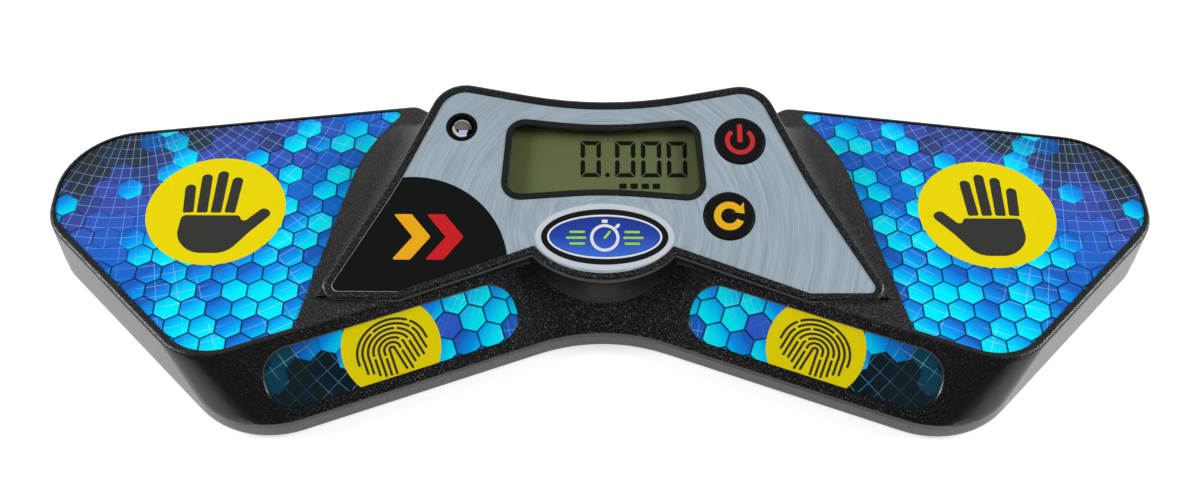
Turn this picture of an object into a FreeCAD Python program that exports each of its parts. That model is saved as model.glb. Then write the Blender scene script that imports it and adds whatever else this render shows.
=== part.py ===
import FreeCAD, Part
import math
import os

# Speed cube timer: a tabletop timer with two hand pads, two finger pads, a raised tilted
# panel with a display, two push buttons and a status light, run by two AAA cells.
# Millimetres. X to the right, Y to the back, Z up. Plan points are measured from a datum
# that runs through the middle of the power button; the finished pieces are moved so that
# the origin lies on the table, under the middle of the case.

# ---- case outline, seen from above (right half; the left half is its mirror image)
CASE_HALF_WIDTH = 144.5      # middle to the end of a wing
FRONT_SWEEP = 21.6           # degrees that each front edge runs forward from the middle
FRONT_APEX_Y = -39.9         # where the two front edges would meet
FRONT_NOTCH_RADIUS = 44.0    # hollow curve at the middle of the front
SIDE_ANGLE = 46.3            # degrees of the outer front side
SIDE_POINT = (117.9, -45.0)  # a point on that side
BACK_SWEEP = 7.6             # degrees that each wing's back edge runs forward
BACK_POINT = (51.0, 25.1)    # inner end of that edge
CENTRE_BACK_Y = 19.0         # back wall between the wings
BACK_STEP_X = 42.0           # where that wall turns out to the wings
BACK_STEP_RADIUS = 5.0
FRONT_CORNER_RADIUS = 24.0   # front outer corner at the bottom
CREST_CORNER_RADIUS = 16.0   # the same corner at the top
SIDE_CORNER_RADIUS = 15.5    # outer side to wing end
END_CORNER_RADIUS = 21.2     # wing end to back edge

# ---- case heights and walls
FOOT_PROUD = 0.8             # rubber feet below the case
BASE_HEIGHT = 4.5            # lower case wall, up to the seam
LIP_HEIGHT = 1.3             # upright edge of the upper case above the seam
WING_HEIGHT = 17.9           # case bottom to the top of the wings
SLOPE_RUN = 17.3             # plan depth of the sloping front
WALL = 2.2
ROOF = 2.7                   # wing roof, measured straight down
FLOOR = 2.0
CREST_ROUND = 1.0            # rounding of the wings' top edge
BASE_ROUND = 0.8             # rounding of the bottom edge
SEAM_CHAMFER = 0.35

# ---- panel
PANEL_TILT = 17.06           # degrees, falling to the front
PANEL_RISE = 31.53           # bezel plane above the case bottom, at the datum
BEZEL = 2.4                  # black edge round the face plate
BEZEL_DEPTH = 3.2            # height of the bezel band
BEZEL_ROUND = 1.1
PANEL_ROOF = 3.0             # thickness under the panel
FACE_V_ANGLE = 19.5          # degrees of the lower V edges of the face plate
FACE_KINK = (51.8, -40.2)    # where a V edge ends
FACE_CORNER = (69.5, -40.1)
FACE_WAIST = (52.6, -11.8)
FACE_EAR = (40.3, 14.0)
FACE_BACK_Y = 6.6
FACE_CORNER_RADIUS = 1.5
FACE_WAIST_RADIUS = 150.0
FACE_EAR_RADIUS = 7.0
FACE_BACK_RADIUS = 110.0
FACE_THICKNESS = 0.5
FACE_SUNK = 0.3              # face plate below the bezel
TAB_HALF_WIDTH = 19.5        # round tab at the front of the panel
TAB_HALF_DEPTH = 12.2
TAB_Y = -23.0
SKIRT_SET_IN = 1.2           # flared skirt starts this far inside the bezel
SKIRT_PAD_GAP = 0.8          # flat strip between the skirt and a hand pad
SKIRT_LEDGE = 1.2            # flat strip behind the skirt
SKIRT_FOOT_RADIUS = 6.0
SKIRT_BACK_HOLLOW = 0.4      # 0 is a straight back wall, 1 as hollow as the sides
SKIRT_STATIONS = 10
SKIRT_LEVELS = 7
TAB_SET_IN = 0.6

# ---- hand pads and finger pads
PAD_RIM_FRONT = 1.2
PAD_RIM_SIDE = 2.2
PAD_RIM_BACK = 1.2
PAD_TIP = (54.4, 22.4)       # inner back tip of a hand pad
PAD_TIP_ANGLE = 124.2        # degrees of the inner edge near the tip
PAD_HEEL = (76.4, -49.0)     # inner edge near the front
PAD_HEEL_ANGLE = 101.7
PAD_INNER_RADIUS = 48.0
PAD_TIP_RADIUS = 1.6
PAD_HEEL_RADIUS = 1.5
PAD_FRONT_RADIUS = 14.0
PAD_SIDE_RADIUS = 13.0
PAD_END_RADIUS = 20.0
OVERLAY_THICKNESS = 0.5
OVERLAY_SUNK = 0.4           # printed overlay below the rim
ELECTRODE_THICKNESS = 0.3
ELECTRODE_INSET = 3.0
FINGER_START = 20.2          # from the middle, along the front edge
FINGER_LENGTH = 65.7
FINGER_WIDTH = 15.6
FINGER_LOW = 2.7             # up the slope from its lower edge
FINGER_RADIUS = 7.2

# ---- clearances
SEAT_GAP = 0.15              # a piece lying in its recess
RUN_GAP = 0.3                # a piece that moves in its hole
STACK_GAP = 0.3
DOOR_GAP = 0.2               # round the battery door

# ---- buttons and status light (panel coordinates: to the right, up the slope)
POWER_AT = (35.6, 0.0)
RESET_AT = (32.1, -21.2)
BUTTON_RADIUS = 6.45
BUTTON_PROUD = 0.2           # above the face plate
BUTTON_TRAVEL = 0.6
BUTTON_ROUND = 0.35
FLANGE_RADIUS = 7.3
FLANGE_THICKNESS = 1.2
STEM_RADIUS = 2.2
PLUNGER_RADIUS = 1.75
PLUNGER_LENGTH = 2.2
SWITCH_SIZE = 6.0
SWITCH_HEIGHT = 3.4
LIGHT_AT = (-37.0, 3.7)
LIGHT_RING_RADIUS = 3.95
LIGHT_LENS_RADIUS = 2.95
LIGHT_DOME = 0.9
LIGHT_COLLAR = 0.7           # width and height
LED_RADIUS = 2.5
LED_LENGTH = 4.0
LED_DOME = 0.8
LED_STANDOFF = 1.0
LED_COLLAR = 0.4
PIN_RADIUS = 0.25
PIN_SPACING = 2.54

# ---- display
SCREEN_TOP = (25.0, 6.3)     # plan corner points of the black frame
SCREEN_BOTTOM = (26.9, -16.6)
SCREEN_TOP_MIDDLE_Y = 3.8
SCREEN_BOTTOM_MIDDLE_Y = -14.6
SCREEN_BOW_RADIUS = 110.0
SCREEN_CORNER_RADIUS = 5.0
SCREEN_FRAME = 1.6
WINDOW_THICKNESS = 1.0
WINDOW_SUNK = 1.8
LCD_SIZE = (50.0, 21.6)
LCD_THICKNESS = 2.8
LCD_Y = -5.4                 # up the slope
HOLDER_WALL = 1.0
HOLDER_RADIUS = 2.0
ZEBRA_WIDTH = 1.8
ZEBRA_LENGTH = 44.0

# ---- circuit board
BOARD_DEPTH = 9.9            # below the bezel plane
BOARD_THICKNESS = 1.6
BOARD_BACK = (41.0, 7.9)
BOARD_WAIST = (49.5, -9.0)
BOARD_FRONT = (49.5, -29.4)
BOARD_GAP = 0.6
POCKET_DEPTH = 14.0
BOARD_SCREWS_AT = ((44.0, -11.0), (-44.0, -11.0), (18.5, -22.8), (-22.0, -22.8))
BOARD_BOSS_RADIUS = 2.6
BOARD_SCREW_RADIUS = 1.0
BOARD_SCREW_LENGTH = 7.0
BOARD_SCREW_HEAD = (2.0, 1.2)    # radius, height
CHIP_SIZE = 10.0
CHIP_HEIGHT = 1.5
CHIP_AT = (-38.5, -20.0)
CRYSTAL_AT = (-36.0, -8.0)
CRYSTAL_SIZE = (8.4, 3.4, 2.4)
CAPACITOR_AT = (42.0, -20.0)
CAPACITOR_RADIUS = 2.5
CAPACITOR_HEIGHT = 5.0

# ---- battery bay (two AAA cells side by side)
CELL_RADIUS = 5.25
CELL_LENGTH = 43.7
CELL_NIPPLE = 0.8
CELL_NIPPLE_RADIUS = 1.9
CELL_SPACING = 11.2
BAY_Y = -2.2
BAY_WALL = 1.4
BAY_ROOF = 1.0
BAY_HALF_LENGTH = 26.5
CONTACT_THICKNESS = 0.4
CONTACT_SIZE = 8.6
SPRING_RADIUS = 3.0
SPRING_WIRE = 0.3
SPRING_TURNS = 3
DOOR_THICKNESS = 1.8
DOOR_TONGUE = 1.5            # rail tongue on each long side
DOOR_LAP = 0.6               # door past the room for the cells
RAIL_BLOCK_HEIGHT = 4.2
RAIL_BLOCK_WIDTH = 3.4
GRIP_RIBS = 4
GRIP_PITCH = 2.4
GRIP_DEPTH = 0.4
GRIP_INSET = 3.0
GRIP_HALF_WIDTH = 10.0

# ---- data jack, screws, feet and mat sockets
JACK_X = 37.0
JACK_Z = 9.2                 # above the case bottom
JACK_BODY = (6.6, 12.0, 5.5)
JACK_BORE_RADIUS = 1.8
JACK_BARREL_RADIUS = 3.0
JACK_SLEEVE = 0.7            # wall of the metal sleeve round the barrel
JACK_SUNK = 0.4              # barrel's mouth inside the sleeve's
JACK_END_WALL = 1.0
CASE_SCREWS_AT = ((112.0, 10.0), (98.0, -48.0), (50.0, -33.0))
SCREW_RADIUS = 1.2
SCREW_LENGTH = 9.5
PILOT_GAP = 0.02             # round a screw in its pilot hole
SCREW_HEAD = (2.4, 1.8)      # radius, height
PILLAR_RADIUS = 4.0
BOSS_RADIUS = 3.4            # of the upper case, on each pillar
PILLAR_HEIGHT = 6.2          # above the case bottom
FEET_AT = ((88.0, -57.0), (124.0, 2.0))
FOOT_RADIUS = 6.0
FOOT_SUNK = 1.2
FOOT_ROUND = 0.4
SOCKET_AT = (95.0, -22.0)
SOCKET_RADIUS = 5.5
SOCKET_HEIGHT = 3.6
SOCKET_BORE_RADIUS = 2.2
SOCKET_BORE_DEPTH = 3.0
SOCKET_BOSS_WALL = 1.6


# ---- leads inside the case
LEAD_RADIUS = 0.55
LEAD_DROP = 5.0              # straight stretch below an electrode
HAND_LEAD_AT = (74.0, -12.0)
FINGER_LEAD_AT = (30.0, 10.5)    # along and up the slope
HAND_LEAD_END = (44.5, -3.0)     # on the board
FINGER_LEAD_END = (28.0, -26.4)
BATTERY_LEAD_X = 32.9
JACK_LEAD_RADIUS = 0.45
JACK_LEAD_PITCH = 2.0
JACK_LEAD_RUN = 3.0

# ---- heights above the table, from the values above
BOTTOM = FOOT_PROUD
SEAM = BOTTOM + BASE_HEIGHT
BAND_TOP = SEAM + LIP_HEIGHT
WING_TOP = BOTTOM + WING_HEIGHT
PANEL_Z = BOTTOM + PANEL_RISE
OVERLAY_TOP = WING_TOP - OVERLAY_SUNK
ABOVE = 60.0                 # a height clear above every piece
SMALL_RADIUS = 0.1           # what is left of a corner that shrinks to nothing
PAST = 1.0                   # how far a cut runs past the face that it opens
FACE_TOP = -FACE_SUNK
FACE_UNDER = FACE_TOP - FACE_THICKNESS
BOARD_TOP = -BOARD_DEPTH
BOARD_UNDER = BOARD_TOP - BOARD_THICKNESS
PANEL_GRADIENT = math.tan(math.radians(PANEL_TILT))
PANEL_COS = math.cos(math.radians(PANEL_TILT))
SLOPE_ANGLE = math.degrees(math.atan2(WING_TOP - BAND_TOP, SLOPE_RUN))

PANEL = FreeCAD.Placement(FreeCAD.Vector(0, 0, PANEL_Z),
                          FreeCAD.Rotation(FreeCAD.Vector(1, 0, 0), PANEL_TILT))


def vec(x, y, z=0.0):
    return FreeCAD.Vector(x, y, z)


# ---- outlines: lists of (x, y, corner radius), anticlockwise seen from above

def line(point, degrees):
    return point[0], point[1], math.radians(degrees)


def beside(a_line, distance):
    """The parallel line that lies this far to the left."""
    x, y, angle = a_line
    return x - distance * math.sin(angle), y + distance * math.cos(angle), angle


def meet(one, other):
    """Where two lines cross."""
    cross = math.sin(other[2] - one[2])
    step = ((other[0] - one[0]) * math.sin(other[2])
            - (other[1] - one[1]) * math.cos(other[2])) / cross
    return one[0] + step * math.cos(one[2]), one[1] + step * math.sin(one[2])


def corner(one, other, radius):
    x, y = meet(one, other)
    return x, y, radius


def mirrored(half):
    """A right half, from the front middle to the back middle, made whole."""
    left = [(-x, y, radius) for x, y, radius in reversed(half) if x > 0]
    return half + left


def grown(outline, distance):
    """The outline moved outward all round; a negative distance moves it inward."""
    result = []
    count = len(outline)
    for i in range(count):
        before, here, after = outline[i - 1], outline[i], outline[(i + 1) % count]
        angle_in = math.atan2(here[1] - before[1], here[0] - before[0])
        angle_out = math.atan2(after[1] - here[1], after[0] - here[0])
        turn = math.sin(angle_out - angle_in)
        line_in = beside((here[0], here[1], angle_in), -distance)
        line_out = beside((here[0], here[1], angle_out), -distance)
        x, y = meet(line_in, line_out) if abs(turn) > 1e-6 else line_in[:2]
        bulge = distance if turn > 0 else -distance
        radius = max(here[2] + bulge, SMALL_RADIUS) if here[2] else 0.0
        result.append((x, y, radius))
    return result


def on_panel(outline):
    """A plan outline as it lies in the tilted panel's own coordinates."""
    return [(x, y / PANEL_COS, radius) for x, y, radius in outline]


def fitted(points):
    """The same closed list of (vector, radius), with each corner's arc limited by the
    edges that it rounds."""
    count = len(points)
    needs = []
    for i in range(count):
        here, radius = points[i]
        back = points[i - 1][0] - here
        ahead = points[(i + 1) % count][0] - here
        needs.append(radius / math.tan(back.getAngle(ahead) / 2))
    shares = [1.0] * count
    for i in range(count):
        nxt = (i + 1) % count
        room = points[i][0].distanceToPoint(points[nxt][0])
        share = room / max(room, needs[i] + needs[nxt])
        shares[i] = min(shares[i], share)
        shares[nxt] = min(shares[nxt], share)
    return [(here, radius * share) for (here, radius), share in zip(points, shares)]


def rounded_edges(points):
    """Lines with tangent arcs for a closed list of (vector, radius)."""
    points = fitted(points)
    count = len(points)
    starts, ends, arcs = [], [], []
    for i in range(count):
        here, radius = points[i]
        back = (points[i - 1][0] - here).normalize()
        ahead = (points[(i + 1) % count][0] - here).normalize()
        half = back.getAngle(ahead) / 2
        if radius <= 0 or half > math.pi / 2 - 1e-4:
            starts.append(here)
            ends.append(here)
            arcs.append(None)
            continue
        tangent = radius / math.tan(half)
        middle = (back + ahead).normalize() * (radius / math.sin(half) - radius)
        starts.append(here + back * tangent)
        ends.append(here + ahead * tangent)
        arcs.append(here + middle)
    edges = []
    for i in range(count):
        if arcs[i] is not None:
            edges.append(Part.Arc(starts[i], arcs[i], ends[i]).toShape())
        nxt = starts[(i + 1) % count]
        if ends[i].distanceToPoint(nxt) > 1e-6:
            edges.append(Part.LineSegment(ends[i], nxt).toShape())
    return edges


def ring(outline, z=0.0):
    return Part.Wire(rounded_edges([(vec(x, y, z), radius) for x, y, radius in outline]))


def prism(outline, low, high):
    return Part.Face(ring(outline, low)).extrude(vec(0, 0, high - low))


def rectangle(x0, y0, x1, y1, radius=0.0):
    return [(x0, y0, radius), (x1, y0, radius), (x1, y1, radius), (x0, y1, radius)]


def block(x0, y0, z0, x1, y1, z1):
    return Part.makeBox(x1 - x0, y1 - y0, z1 - z0, vec(x0, y0, z0))


def disc(at, radius, low, high):
    return Part.makeCylinder(radius, high - low, vec(at[0], at[1], low))


def tube(at, outer, inner, low, high):
    return disc(at, outer, low, high).cut(disc(at, inner, low - 1, high + 1))


def ellipse_prism(half_width, half_depth, y, low, high):
    across, along = (vec(1, 0), vec(0, 1)) if half_width > half_depth else (vec(0, 1), vec(-1, 0))
    curve = Part.Ellipse(vec(0, y, low) + across * max(half_width, half_depth),
                         vec(0, y, low) + along * min(half_width, half_depth), vec(0, y, low))
    return Part.Face(Part.Wire(curve.toShape())).extrude(vec(0, 0, high - low))


def in_panel(shape):
    """Moves a shape made in panel coordinates to its place."""
    placed = shape.copy()
    placed.Placement = PANEL.multiply(placed.Placement)
    return placed


def above_panel(depth):
    """Everything over the plane that lies this far from the bezel plane."""
    return in_panel(block(-200, -100, depth, 200, 100, depth + 100))


def mirror(shape):
    return shape.mirror(vec(0, 0, 0), vec(1, 0, 0))


def both(shape):
    return [shape, mirror(shape)]


def joined(shapes):
    return shapes[0].multiFuse(shapes[1:]).removeSplitter()


def group(shapes):
    return Part.makeCompound(shapes)


def lead(points, radius=LEAD_RADIUS):
    """A round lead along straight runs joined by tangent arcs."""
    edges = []
    here = points[0]
    for i in range(1, len(points) - 1):
        back = points[i - 1] - points[i]
        ahead = points[i + 1] - points[i]
        cut = 0.45 * min(back.Length, ahead.Length)
        back, ahead = back.normalize(), ahead.normalize()
        half = back.getAngle(ahead) / 2
        reach = cut * (1 / math.cos(half) - math.tan(half))
        start, end = points[i] + back * cut, points[i] + ahead * cut
        top = points[i] + (back + ahead).normalize() * reach
        edges.append(Part.LineSegment(here, start).toShape())
        edges.append(Part.Arc(start, top, end).toShape())
        here = end
    edges.append(Part.LineSegment(here, points[-1]).toShape())
    path = Part.Wire(edges)
    first = points[1] - points[0]
    section = Part.Wire(Part.makeCircle(radius, points[0], first))
    return path.makePipeShell([section], True, False)


# ---- the lines that bound the case and its pads
FRONT_LINE = line((0.0, FRONT_APEX_Y), -FRONT_SWEEP)
CREST_LINE = beside(FRONT_LINE, SLOPE_RUN)
SIDE_LINE = line(SIDE_POINT, SIDE_ANGLE)
END_LINE = line((CASE_HALF_WIDTH, 0.0), 90.0)
BACK_LINE = line(BACK_POINT, 180.0 - BACK_SWEEP)
HEEL_LINE = line(PAD_HEEL, PAD_HEEL_ANGLE)
TIP_LINE = line(PAD_TIP, PAD_TIP_ANGLE)


def case_outline(front, corner_radius, notch_radius):
    half = [meet(front, line((0.0, 0.0), 90.0)) + (notch_radius,),
            corner(front, SIDE_LINE, corner_radius),
            corner(SIDE_LINE, END_LINE, SIDE_CORNER_RADIUS),
            corner(END_LINE, BACK_LINE, END_CORNER_RADIUS),
            BACK_POINT + (BACK_STEP_RADIUS,),
            (BACK_STEP_X, CENTRE_BACK_Y, BACK_STEP_RADIUS)]
    return mirrored(half)


BASE = case_outline(FRONT_LINE, FRONT_CORNER_RADIUS, FRONT_NOTCH_RADIUS)
CREST = case_outline(CREST_LINE, CREST_CORNER_RADIUS, FRONT_NOTCH_RADIUS + SLOPE_RUN)

PAD = [corner(HEEL_LINE, beside(CREST_LINE, PAD_RIM_FRONT), PAD_HEEL_RADIUS),
       corner(beside(CREST_LINE, PAD_RIM_FRONT), beside(SIDE_LINE, PAD_RIM_SIDE), PAD_FRONT_RADIUS),
       corner(beside(SIDE_LINE, PAD_RIM_SIDE), beside(END_LINE, PAD_RIM_BACK), PAD_SIDE_RADIUS),
       corner(beside(END_LINE, PAD_RIM_BACK), beside(BACK_LINE, PAD_RIM_BACK), PAD_END_RADIUS),
       corner(beside(BACK_LINE, PAD_RIM_BACK), TIP_LINE, PAD_TIP_RADIUS),
       corner(TIP_LINE, HEEL_LINE, PAD_INNER_RADIUS)]

FACE = mirrored([meet(line(FACE_KINK, -FACE_V_ANGLE), line((0.0, 0.0), 90.0)) + (0.0,),
                 FACE_KINK + (0.0,),
                 FACE_CORNER + (FACE_CORNER_RADIUS,),
                 FACE_WAIST + (FACE_WAIST_RADIUS,),
                 FACE_EAR + (FACE_EAR_RADIUS,),
                 (0.0, FACE_BACK_Y, FACE_BACK_RADIUS)])

SCREEN = mirrored([(0.0, SCREEN_BOTTOM_MIDDLE_Y, SCREEN_BOW_RADIUS),
                   SCREEN_BOTTOM + (SCREEN_CORNER_RADIUS,),
                   SCREEN_TOP + (SCREEN_CORNER_RADIUS,),
                   (0.0, SCREEN_TOP_MIDDLE_Y, SCREEN_BOW_RADIUS)])

BOARD = [(-BOARD_FRONT[0], BOARD_FRONT[1], 0.0), BOARD_FRONT + (0.0,), BOARD_WAIST + (0.0,),
         BOARD_BACK + (0.0,), (-BOARD_BACK[0], BOARD_BACK[1], 0.0),
         (-BOARD_WAIST[0], BOARD_WAIST[1], 0.0)]

FINGER = rectangle(FINGER_START, FINGER_LOW, FINGER_START + FINGER_LENGTH,
                   FINGER_LOW + FINGER_WIDTH, FINGER_RADIUS)

SLOPE = FreeCAD.Placement(vec(0, FRONT_APEX_Y, BAND_TOP),
                          FreeCAD.Rotation(vec(0, 0, 1), -FRONT_SWEEP).multiply(
                              FreeCAD.Rotation(vec(1, 0, 0), SLOPE_ANGLE)))


def on_slope(shape):
    """Moves a shape made on the right front slope to its place."""
    placed = shape.copy()
    placed.Placement = SLOPE.multiply(placed.Placement)
    return placed


# ---- upper case

def wing_body(drop=0.0):
    """The whole lower form: upright edge, sloping front and flat wing tops."""
    low = Part.Face(ring(BASE, SEAM - drop)).extrude(vec(0, 0, BAND_TOP - SEAM))
    slope = Part.makeLoft([ring(BASE, BAND_TOP - drop), ring(CREST, WING_TOP - drop)], True, True)
    return low.fuse(slope).removeSplitter()


def top_edges(shape):
    """The outer edges of the flat wing tops."""
    return [edge for edge in shape.Edges
            if abs(edge.BoundBox.ZMin - WING_TOP) < 1e-4 and abs(edge.BoundBox.ZMax - WING_TOP) < 1e-4]


def face_prism(margin, low, high):
    """The face plate's outline with its round tab, in panel coordinates."""
    plate = prism(on_panel(grown(FACE, margin)), low, high)
    tab = ellipse_prism(TAB_HALF_WIDTH + margin, TAB_HALF_DEPTH / PANEL_COS + margin,
                        TAB_Y / PANEL_COS, low, high)
    return plate.fuse(tab).removeSplitter()


def bezel_band():
    """The band round the panel, with its top edge rounded, in panel coordinates."""
    band = face_prism(BEZEL, -BEZEL_DEPTH, 0.0)
    edges = [edge for edge in band.Edges if edge.BoundBox.ZMin > -1e-4]
    return band.makeFillet(BEZEL_ROUND, edges)


def along(points, count):
    """This many points, evenly spaced along a run of points."""
    reach = [0.0]
    for i in range(1, len(points)):
        reach.append(reach[-1] + points[i].distanceToPoint(points[i - 1]))
    result = []
    k = 0
    for i in range(count):
        want = reach[-1] * i / (count - 1)
        while k < len(points) - 2 and reach[k + 1] < want:
            k += 1
        share = (want - reach[k]) / (reach[k + 1] - reach[k])
        result.append(points[k] + (points[k + 1] - points[k]) * share)
    return result


def half_run(outline):
    """Stations along the right half of an outline, from its front corner to the back
    middle, in two spans that meet at its ear."""
    first, ear, last = [vec(outline[k][0], outline[k][1]) for k in (2, 4, 5)]
    dense = [p for p in ring(outline).discretize(Distance=0.25) if p.x > -0.2]
    dense = [p for p in dense if p.y > first.y + 0.1 or p.x > first.x - 0.3]
    nearest = [min(range(len(dense)), key=lambda i: dense[i].distanceToPoint(q))
               for q in (first, ear, last)]
    side = dense[nearest[0]:nearest[1] + 1]
    back = dense[nearest[1]:nearest[2] + 1]
    return along([first] + side[2:], SKIRT_STATIONS) + along(back, SKIRT_STATIONS)[1:]


def skirt():
    """The flared walls from the bezel down to the wing tops, and their front V."""
    top = grown(FACE, BEZEL - SKIRT_SET_IN)
    front_line = line((0.0, top[2][1]), 0.0)
    heel = beside(HEEL_LINE, SKIRT_PAD_GAP)
    tip = beside(TIP_LINE, SKIRT_PAD_GAP)
    back_y = CENTRE_BACK_Y - SKIRT_LEDGE
    foot = mirrored([top[0], top[1], corner(front_line, heel, FACE_CORNER_RADIUS),
                     corner(heel, tip, PAD_INNER_RADIUS - SKIRT_PAD_GAP),
                     corner(tip, line((0.0, back_y), 180.0), SKIRT_FOOT_RADIUS),
                     (0.0, back_y, 0.0)])
    tops, feet = half_run(top), half_run(foot)
    wires = []
    for level in range(SKIRT_LEVELS):
        rise = level / (SKIRT_LEVELS - 1)
        hollow = 1 - math.sqrt(1 - (1 - rise) ** 2)
        right = []
        for k in range(len(tops)):
            share = min(1.0, max(0.0, (k - SKIRT_STATIONS + 3) / 4.0))
            bend = 1 - share * (1 - SKIRT_BACK_HOLLOW)
            out = bend * hollow + (1 - bend) * (1 - rise)
            spot = tops[k] + (feet[k] - tops[k]) * out
            right.append(spot)
        front = [vec(top[1][0], top[1][1]), vec(top[0][0], top[0][1]),
                 vec(-top[1][0], top[1][1])]
        right[-1].x = 0.0
        left = [vec(-p.x, p.y) for p in reversed(right[:-1])]
        points = right + left + list(reversed(front))
        for p in points:
            high = PANEL_Z + PANEL_GRADIENT * p.y - SEAT_GAP
            p.z = WING_TOP + (high - WING_TOP) * rise
        curve = Part.BSplineCurve()
        curve.interpolate(right + left)
        corners = [left[-1]] + list(reversed(front)) + [right[0]]
        edges = [curve.toShape()]
        edges += [Part.LineSegment(a, b).toShape() for a, b in zip(corners, corners[1:])]
        wires.append(Part.Wire(edges))
    flare = Part.makeLoft(wires, True, False)
    below = Part.Face(wires[0]).extrude(vec(0, 0, BAND_TOP - WING_TOP))
    return [flare, below]


def outer_body():
    """The upper case as one full solid, before it is hollowed."""
    wing = wing_body()
    wing = wing.makeFillet(CREST_ROUND, top_edges(wing))
    tab = ellipse_prism(TAB_HALF_WIDTH + BEZEL - TAB_SET_IN, TAB_HALF_DEPTH + BEZEL - TAB_SET_IN,
                        TAB_Y, BAND_TOP, ABOVE).cut(above_panel(-SEAT_GAP))
    return joined([wing] + skirt() + [tab, in_panel(bezel_band())])


def wing_cavity():
    """The room inside the wings and behind the front slope."""
    inside = prism(grown(BASE, -WALL), SEAM, ABOVE)
    return wing_body(ROOF).common(inside)


def panel_cavity():
    """The pocket for the circuit board and display, and the shaft below it."""
    tab_y = TAB_Y / PANEL_COS
    pocket = prism(grown(BOARD, BOARD_GAP), -POCKET_DEPTH, -PANEL_ROOF)
    tab = ellipse_prism(TAB_HALF_WIDTH - WALL, TAB_HALF_DEPTH - WALL, tab_y,
                        -POCKET_DEPTH, -PANEL_ROOF)
    pocket = in_panel(pocket.fuse(tab))
    side = BOARD_FRONT[0]
    shaft = block(-side, BOARD_FRONT[1], WING_TOP - ROOF - PAST,
                  side, CENTRE_BACK_Y - 2 * WALL, ABOVE)
    shaft = shaft.cut(above_panel(-POCKET_DEPTH + SEAT_GAP))
    tab_shaft = ellipse_prism(TAB_HALF_WIDTH - WALL, TAB_HALF_DEPTH - WALL, TAB_Y,
                              BAND_TOP + WALL, ABOVE)
    return [pocket, shaft, tab_shaft.cut(above_panel(-POCKET_DEPTH + SEAT_GAP))]


def screen_outline(margin):
    return on_panel(grown(SCREEN, margin))


def panel_cuts():
    """Recess for the face plate and the holes through the panel, in panel coordinates."""
    lip = prism(screen_outline(-SEAT_GAP), -POCKET_DEPTH, FACE_TOP + BUTTON_PROUD)
    recess = face_prism(SEAT_GAP, FACE_UNDER, BEZEL_DEPTH).cut(lip)
    window = prism(screen_outline(-SCREEN_FRAME), -POCKET_DEPTH, BEZEL_DEPTH)
    pocket = prism(screen_outline(-SEAT_GAP), -POCKET_DEPTH, -WINDOW_SUNK)
    cuts = [recess, window, pocket]
    for at in (POWER_AT, RESET_AT):
        cuts.append(disc(at, BUTTON_RADIUS + RUN_GAP, -POCKET_DEPTH, BEZEL_DEPTH))
    cuts.append(disc(LIGHT_AT, LIGHT_RING_RADIUS + SEAT_GAP, -POCKET_DEPTH, BEZEL_DEPTH))
    return [in_panel(cut) for cut in cuts]


def pad_cuts():
    """Recesses for the overlays and electrodes, and the holes for their leads."""
    low = OVERLAY_TOP - OVERLAY_THICKNESS
    hand = prism(PAD, low, ABOVE).fuse(
        prism(grown(PAD, -ELECTRODE_INSET), low - ELECTRODE_THICKNESS, low))
    sunk = -OVERLAY_SUNK - OVERLAY_THICKNESS
    finger = on_slope(prism(FINGER, sunk, BAND_TOP).fuse(
        prism(grown(FINGER, -ELECTRODE_INSET), sunk - ELECTRODE_THICKNESS, sunk)))
    hole = LEAD_RADIUS + RUN_GAP
    hand_hole = disc(HAND_LEAD_AT, hole, BAND_TOP, low)
    finger_hole = on_slope(disc(FINGER_LEAD_AT, hole, sunk - 2 * ROOF, sunk))
    return both(hand) + both(finger) + both(hand_hole) + both(finger_hole)


def upper_bosses():
    """Screw bosses under the roof and behind the panel."""
    case = []
    for at in CASE_SCREWS_AT:
        case += both(disc(at, BOSS_RADIUS, BOTTOM + PILLAR_HEIGHT, WING_TOP - ROOF / 2))
    board = [in_panel(disc(at, BOARD_BOSS_RADIUS, BOARD_TOP, -PANEL_ROOF / 2))
             for at in BOARD_SCREWS_AT]
    return case + board


def screw_holes():
    case = []
    for at in CASE_SCREWS_AT:
        top = screw_seat() + SCREW_LENGTH + STACK_GAP
        case += both(disc(at, SCREW_RADIUS + PILOT_GAP, BOTTOM, top))
    board = [in_panel(disc(at, BOARD_SCREW_RADIUS + PILOT_GAP, BOARD_TOP,
                           BOARD_UNDER + BOARD_SCREW_LENGTH + STACK_GAP))
             for at in BOARD_SCREWS_AT]
    return case + board


def screw_seat():
    """Height of the shoulder that the case screws' heads sit under."""
    return BOTTOM + PILLAR_HEIGHT - FLOOR


def jack_hole():
    low = vec(JACK_X, CENTRE_BACK_Y - 3 * WALL, BOTTOM + JACK_Z)
    return Part.makeCylinder(JACK_BARREL_RADIUS + SEAT_GAP, 5 * WALL, low, vec(0, 1, 0))


def upper_case():
    body = outer_body()
    for cut in [wing_cavity()] + panel_cavity():
        body = body.cut(cut)
    body = joined([body] + upper_bosses())
    for cut in panel_cuts() + pad_cuts() + screw_holes() + [jack_hole()]:
        body = body.cut(cut)
    return body.removeSplitter()


# ---- lower case and battery door

def bay_half_depth():
    """Half the depth of the room for the two cells."""
    return CELL_SPACING / 2 + CELL_RADIUS + STACK_GAP


def door_front():
    return BAY_Y - bay_half_depth() - DOOR_LAP


def door_solids(margin):
    """Plate and rail tongues of the battery door; a margin gives the opening for it."""
    plate = BAY_HALF_LENGTH + DOOR_LAP + margin
    tongue = plate + DOOR_TONGUE
    front = door_front() - margin
    back = CENTRE_BACK_Y - SEAT_GAP
    middle = BOTTOM + DOOR_THICKNESS / 2 - margin
    top = BOTTOM + DOOR_THICKNESS + margin
    narrow = block(-plate, front, BOTTOM, plate, back, top)
    wide = block(-tongue, front, middle, tongue, back, top)
    return narrow.fuse(wide).removeSplitter()


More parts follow.
